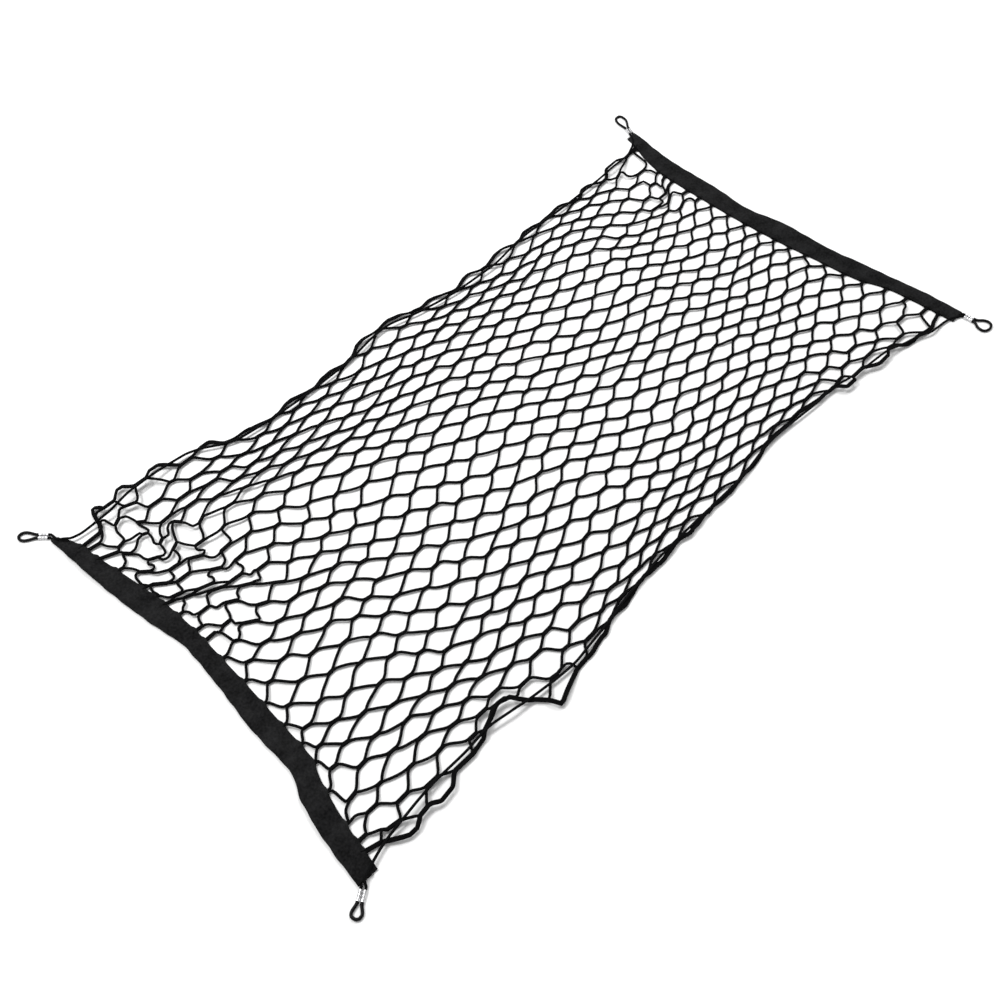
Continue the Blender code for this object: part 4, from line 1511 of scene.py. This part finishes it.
@dataclass(frozen=True)
class Corner:
    """A corner of the net: two pressed barrels side by side and the coated loop that they hold.

    The corner's place is the middle between the barrels' inner ends. sleeve_side is 1 where the
    sleeve cord's barrel lies to the left of the way out, and -1 otherwise.
    """

    name: str
    x: float
    y: float
    tip_x: float
    tip_y: float
    loop_width: float
    sleeve_side: int
    barrel: float = 4.3 * MM
    waist: float = 3.9 * MM
    spread: float = 2.5 * MM
    length: float = 12.0 * MM
    mouth: float = 3.5 * MM
    mouth_depth: float = 1.3 * MM
    gap: float = 0.35 * MM
    rings: int = 14
    facets: int = 28
    press_at: float = 0.30
    press_reach: float = 0.17
    press_flats: int = 6
    sharp: float = 42.0
    loop_cord: float = 3.7 * MM
    loop_swell: float = 0.07
    swell_reach: float = 2.5
    core: float = 1.9 * MM
    core_shows: float = 1.6 * MM

    def way_out(self) -> tuple[Vector, Vector, Vector, Vector]:
        """The corner's inner end, its tip, the level way from one to the other and that way's left."""
        start = at_plan(self.x, self.y, self.barrel / 2)
        tip = at_plan(self.tip_x, self.tip_y, self.barrel / 2)
        out = (tip - start).normalized()
        return start, tip, out, Vector((-out.y, out.x, 0.0))

    def on_line(self, side: Side, along: float) -> Vector:
        """A point on the line of one barrel, that far out from the corner's inner end."""
        start, _, out, left = self.way_out()
        return start + out * along + left * (side.value * self.sleeve_side * self.spread)

    def build_barrel(self, side: Side) -> bpy.types.Object:
        """Makes one barrel: a short tube, pressed flat in two places along it.

        Args:
            side: Which barrel.

        Returns:
            The barrel.
        """
        outer, inner, half = self.barrel / 2, self.mouth / 2, self.length / 2
        floor, break_in, break_out = half - self.mouth_depth, 0.1 * MM, 0.15 * MM
        end = [(0.0, floor), (inner, floor), (inner, half - break_in), (inner + break_in, half)]
        end += [(outer - break_out, half), (outer, half - break_out)]
        wall = [(outer, half * (1 - step / self.rings)) for step in range(1, 2 * self.rings)]
        profile = [*end, *wall, *((radius, -along) for radius, along in reversed(end))]
        tool = bmesh.new()
        verts = [tool.verts.new((radius, 0.0, along)) for radius, along in profile]
        edges = [tool.edges.new(pair) for pair in zip(verts, verts[1:])]
        bmesh.ops.spin(
            tool, geom=verts + edges, cent=(0, 0, 0), axis=(0, 0, 1), angle=2 * math.pi,
            steps=self.facets, use_merge=True,
        )
        bmesh.ops.remove_doubles(tool, verts=tool.verts[:], dist=2 * ALIKE)
        bmesh.ops.recalc_face_normals(tool, faces=tool.faces[:])
        narrow = 1 - self.waist / self.barrel
        for vert in tool.verts:
            along = vert.co.z / half
            radius = math.hypot(vert.co.x, vert.co.y)
            if radius < inner + 0.05 * MM:
                continue
            press = math.exp(-(((abs(along) - self.press_at) / self.press_reach) ** 2))
            flats = 0.5 + 0.5 * math.cos(self.press_flats * math.atan2(vert.co.y, vert.co.x))
            shrink = 1 - press * narrow * (0.75 + 0.9 * flats)
            vert.co.x *= shrink
            vert.co.y *= shrink
        _, _, out, left = self.way_out()
        lying = Matrix((left, Vector((0.0, 0.0, 1.0)), -out)).transposed().to_4x4()
        middle = self.on_line(side, self.gap + half)
        bmesh.ops.transform(tool, matrix=Matrix.Translation(middle) @ lying, verts=tool.verts[:])
        kind = side.name.lower()
        data = mesh_of(tool, f"pressed_{kind}_{self.name}")
        data.set_sharp_from_angle(angle=math.radians(self.sharp))
        return new_piece(data.name, data, BARREL_METAL.material())

    def loop_way(self) -> np.ndarray:
        """The loop's route, from the outer end of one barrel round its tip to that of the other."""
        _, tip, out, left = self.way_out()
        first, second = (
            self.on_line(side, self.length + 2 * self.gap)
            for side in ((Side.SLEEVE, Side.EDGE) if self.sleeve_side == 1 else (Side.EDGE, Side.SLEEVE))
        )
        root = (first + second) / 2
        length = (tip - root).length - self.loop_cord / 2
        wide = (self.loop_width * MM - self.loop_cord) / 2
        drop = Vector((0.0, 0.0, (self.loop_cord - self.barrel) / 2))
        # Each row: the shares of the loop's length, of its half width and of its drop to the floor.
        shape = (
            (0.07, self.spread / wide, 0.0),
            (0.20, self.spread / wide + 0.1, 0.4),
            (0.45, 0.84, 1.0),
            (0.70, 1.0, 1.0),
            (0.91, 0.72, 1.0),
            (1.0, 0.0, 1.0),
        )
        half = [root + out * (length * s) + left * (wide * w) + drop * d for s, w, d in shape]
        other = [root + out * (length * s) - left * (wide * w) + drop * d for s, w, d in shape[-2::-1]]
        return smooth_way([first, *half, *other, second], 1.1 * MM)

    def build_loop(self) -> bpy.types.Object:
        """Makes the coated loop, a little thicker at its two cut ends."""
        way = self.loop_way()
        ends = np.minimum(np.arange(len(way)), np.arange(len(way))[::-1])
        thickness = 1.0 + self.loop_swell * np.exp(-((ends / self.swell_reach) ** 2))
        tool = bmesh.new()
        RoundCord(self.loop_cord, 4).add_to(tool, way, thickness)
        bmesh.ops.remove_doubles(tool, verts=tool.verts[:], dist=ALIKE)
        name = "coated_" + self.name
        return new_piece(name, mesh_of(tool, name), LOOP_COATING.material())

    def build_core(self) -> bpy.types.Object:
        """Makes the bare cord ends that show between the loop's coating and the barrels."""
        ways = []
        for side in Side:
            first = self.on_line(side, self.gap + self.length - self.mouth_depth)
            last = self.on_line(side, self.gap + self.length + self.core_shows)
            ways.append(smooth_way((first, (first + last) / 2, last), 0.5 * MM))
        return RoundCord(self.core).build("core_" + self.name, ways, EDGE_COVER.material())


CORNERS = {
    corner.name: corner
    for corner in (
        Corner("left_high", -551, 309, -579.5, 337.5, 16, 1),
        Corner("left_low", -552.5, -304.5, -578.5, -322, 15, -1),
        Corner("right_low", 554, -305, 557, -345, 24, 1),
        Corner("right_high", 550, 311, 570.5, 359, 19, -1),
    )
}


POINTS_AT_SLEEVE = 3


class Lies(Enum):
    """What a cord lies on or in at a point of its way."""

    POCKET = "pocket"
    SLEEVE = "sleeve"
    NET = "net"


@dataclass(frozen=True)
class RoutePoint:
    """A point of an edge cord's way, in plan millimetres."""

    x: float
    y: float
    lies: Lies


def edge_route(*places: tuple[float, float]) -> tuple[RoutePoint, ...]:
    """An edge cord's way: its first points lie on the left sleeve and its last in the right one.

    Args:
        places: The plan places that it passes, from the left.

    Returns:
        The points with what each lies on or in.
    """
    on_net = [Lies.NET] * (len(places) - 2 * POINTS_AT_SLEEVE)
    lies = [Lies.SLEEVE] * POINTS_AT_SLEEVE + on_net + [Lies.POCKET] * POINTS_AT_SLEEVE
    return tuple(RoutePoint(x, y, what) for (x, y), what in zip(places, lies))


EDGE_ROUTES = {
    "high": edge_route(
        (-546, 300), (-538, 292.5), (-531, 287), (-518, 284.5), (-500, 285.5), (-480, 287.5), (-455, 293),
        (-440, 296), (-420, 297), (-380, 296), (-358, 294), (-338, 288), (-310, 272), (-285, 262.5),
        (-200, 258), (-110, 262), (-20, 276), (40, 262), (110, 254), (170, 254), (250, 266), (340, 268),
        (430, 273), (470, 277.5), (508, 280.5), (520, 285.5), (531, 291), (540, 297), (544, 303),
    ),
    "low": edge_route(
        (-545, -297), (-537.5, -294), (-526.5, -289.5), (-500, -282), (-478, -278.5), (-450, -274.5),
        (-420, -272), (-380, -271.5), (-345, -268.5), (-310, -273), (-280, -278), (-220, -283),
        (-190, -279.5), (-150, -274.5), (-120, -269), (-20, -258), (110, -256), (200, -246), (300, -250.5),
        (320, -249), (345, -255), (380, -260), (425, -264), (457, -274), (480, -280), (503, -288.5),
        (520, -290), (538, -293), (547, -298),
    ),
}


@dataclass
class RimCords:
    """The cords round the net: one along each long edge and one in the fold of each sleeve."""

    mesh: ElasticMesh
    sleeves: dict[End, FoldedSleeve]
    diameter: float = 3.3 * MM
    into_barrel: float = 1.2 * MM
    straight: float = 2.5 * MM
    in_pocket: float = 2.7 * MM
    on_sleeve: float = 4.6 * MM
    inset: float = 3.6
    cord_share: float = 0.12

    def height(self, point: RoutePoint) -> float:
        """Height of an edge cord's middle at a point of its way."""
        if point.lies is Lies.POCKET:
            return self.in_pocket
        if point.lies is Lies.SLEEVE:
            return self.on_sleeve + self.diameter / 2
        return self.mesh.rest_height(point.x, point.y) + (self.mesh.cord + self.diameter) / 2

    def between(
        self, start: Corner, finish: Corner, side: Side, points: list[Vector], spacing: float
    ) -> np.ndarray:
        """A cord's route from inside one corner's barrel to inside another's.

        Args:
            start: The corner that it leaves.
            finish: The corner that it reaches.
            side: Which of their barrels hold it.
            points: What it passes on its way.
            spacing: About how far apart it is read.

        Returns:
            The route's points in metres.
        """
        leaving, arriving = (
            [corner.on_line(side, along) for along in (self.into_barrel, -self.straight)]
            for corner in (start, finish)
        )
        return smooth_way([*leaving, *points, *reversed(arriving)], spacing)

    def edge_way(self, which: str) -> np.ndarray:
        """A long edge cord's route, from barrel to barrel."""
        left, right = CORNERS["left_" + which], CORNERS["right_" + which]
        points = [seen_at(p.x, p.y, self.height(p)) for p in EDGE_ROUTES[which]]
        return self.between(left, right, Side.EDGE, points, 4.0 * MM)

    def sleeve_way(self, end: End) -> np.ndarray:
        """A sleeve cord's route, in the fold from barrel to barrel."""
        low, high = (CORNERS[f"{end.name.lower()}_{which}"] for which in ("low", "high"))
        height = self.sleeves[end].cloth + self.diameter / 2 + 0.1 * MM
        lifts = [self.sleeves[end].stand_off(r.y, self.cord_share) for r in SLEEVE_ROWS[end]]
        places = [(r.outer + self.inset * end.value, r.y) for r in SLEEVE_ROWS[end]]
        points = [at_plan(x, y, height + lift) for (x, y), lift in zip(places, lifts)]
        return self.between(low, high, Side.SLEEVE, points, 5.0 * MM)

    def build(self) -> dict[str, bpy.types.Object]:
        """Makes the four cords, each under the name of its node."""
        finish = EDGE_COVER.material()
        cord = RoundCord(self.diameter)
        pieces = {}
        for which in EDGE_ROUTES:
            node = "edge_cord_" + which
            pieces[node] = cord.build("long_" + node, [self.edge_way(which)], finish)
        for end in End:
            node = "sleeve_cord_" + end.name.lower()
            pieces[node] = cord.build("inner_" + node, [self.sleeve_way(end)], finish)
        return pieces


# ---- studio --------------------------------------------------------------------------------------


@dataclass(frozen=True)
class SoftLight:
    """A square soft light that points at a spot of the floor."""

    name: str
    place: tuple[float, float, float]
    target: tuple[float, float, float]
    size: float
    watts: float

    def build(self) -> None:
        """Makes the light."""
        data = bpy.data.lights.new(self.name, "AREA")
        data.shape = "SQUARE"
        data.size = self.size
        data.energy = self.watts
        light = in_scene(self.name, data)
        light.location = self.place
        way = Vector(self.target) - Vector(self.place)
        light.rotation_euler = way.to_track_quat("-Z", "Y").to_euler()


@dataclass(frozen=True)
class Viewpoint:
    """The camera: its place, its axes and its zoom, as a fit to the sleeves' four corners gave them."""

    place: tuple[float, float, float] = CAMERA_PLACE
    right: tuple[float, float, float] = (0.71218, -0.70087, -0.03975)
    up: tuple[float, float, float] = (0.58814, 0.56481, 0.57887)
    forward: tuple[float, float, float] = (0.38326, 0.43564, -0.81445)
    focal: float = 38.976
    sensor: float = 36.0
    farthest: float = 60.0

    def build(self) -> None:
        """Makes the camera and has the scene look through it."""
        data = bpy.data.cameras.new("camera")
        data.lens = self.focal
        data.sensor_width = self.sensor
        data.clip_end = self.farthest
        camera = in_scene("camera", data)
        turned = Matrix((self.right, self.up, -Vector(self.forward))).transposed()
        camera.matrix_world = Matrix.Translation(self.place) @ turned.to_4x4()
        bpy.context.scene.camera = camera


@dataclass
class Studio:
    """White paper floor, an even white surround and two large soft lights from behind the net."""

    floor_size: float = 14.0
    floor_drop: float = 0.25 * MM
    surround: float = 0.55
    lights: tuple[SoftLight, ...] = (
        SoftLight("key_light", (-0.9, 1.3, 2.8), (0.0, 0.0, 0.0), 0.9, 58.0),
        SoftLight("fill_light", (1.4, 0.8, 2.8), (0.0, 0.0, 0.0), 1.5, 46.0),
    )

    def build(self) -> bpy.types.Object:
        """Makes the floor, the lights and the camera.

        Returns:
            The floor.
        """
        scene = bpy.context.scene
        scene.view_settings.view_transform = "Standard"
        world = bpy.data.worlds.new("surround")
        world.use_nodes = True
        background = world.node_tree.nodes["Background"]
        background.inputs["Color"].default_value = (1.0, 1.0, 1.0, 1.0)
        background.inputs["Strength"].default_value = self.surround
        scene.world = world
        for light in self.lights:
            light.build()
        Viewpoint().build()
        tool = bmesh.new()
        bmesh.ops.create_grid(tool, x_segments=4, y_segments=4, size=self.floor_size / 2)
        bmesh.ops.translate(tool, verts=tool.verts[:], vec=(0.0, 0.0, -self.floor_drop))
        return new_piece("studio_floor", mesh_of(tool, "studio_floor"), FLOOR_PAPER.material())


# ---- the whole -----------------------------------------------------------------------------------


def stand_for(piece: bpy.types.Object, node: str) -> None:
    """Has a piece ride on the part and stand for a node, whose solid it hides.

    Args:
        piece: The piece.
        node: The node's name.
    """
    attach(piece, "root")
    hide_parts(node)
    LOG.info("%s: %d faces, for %s", piece.name, len(piece.data.polygons), node)


def add_detail(piece: bpy.types.Object) -> None:
    """Has a piece that stands for no node ride on the part.

    Args:
        piece: The piece.
    """
    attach(piece, "root")
    LOG.info("%s: %d faces", piece.name, len(piece.data.polygons))


def main() -> None:
    """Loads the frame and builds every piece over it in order."""
    logging.basicConfig(level=logging.INFO, format="%(name)s: %(message)s")
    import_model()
    floor = Studio().build()

    mesh = ElasticMesh()
    strands = mesh.build()
    stand_for(strands, "net")

    sleeves = {end: FoldedSleeve(end, mesh.entries(end)) for end in End}
    for sleeve in sleeves.values():
        cloth = sleeve.build()
        stand_for(cloth, sleeve.name)
        details = [sleeve.build_stitches(), sleeve.build_frays()]
        for detail in details:
            add_detail(detail)
        sleeve.flat_size()

    rim = RimCords(mesh, sleeves)
    cords = rim.build()
    for node, piece in cords.items():
        stand_for(piece, node)
    for which in EDGE_ROUTES:
        way = rim.edge_way(which)
        cords["edge_cord_" + which]
    for end in End:
        LOG.info("sleeve cord %s: %.3f m", end.name.lower(), length_of(rim.sleeve_way(end)))

    for corner in CORNERS.values():
        for side in Side:
            stand_for(corner.build_barrel(side), f"barrel_{side.name.lower()}_{corner.name}")
        stand_for(corner.build_loop(), "loop_" + corner.name)
        add_detail(corner.build_core())


if __name__ == "__main__":
    main()
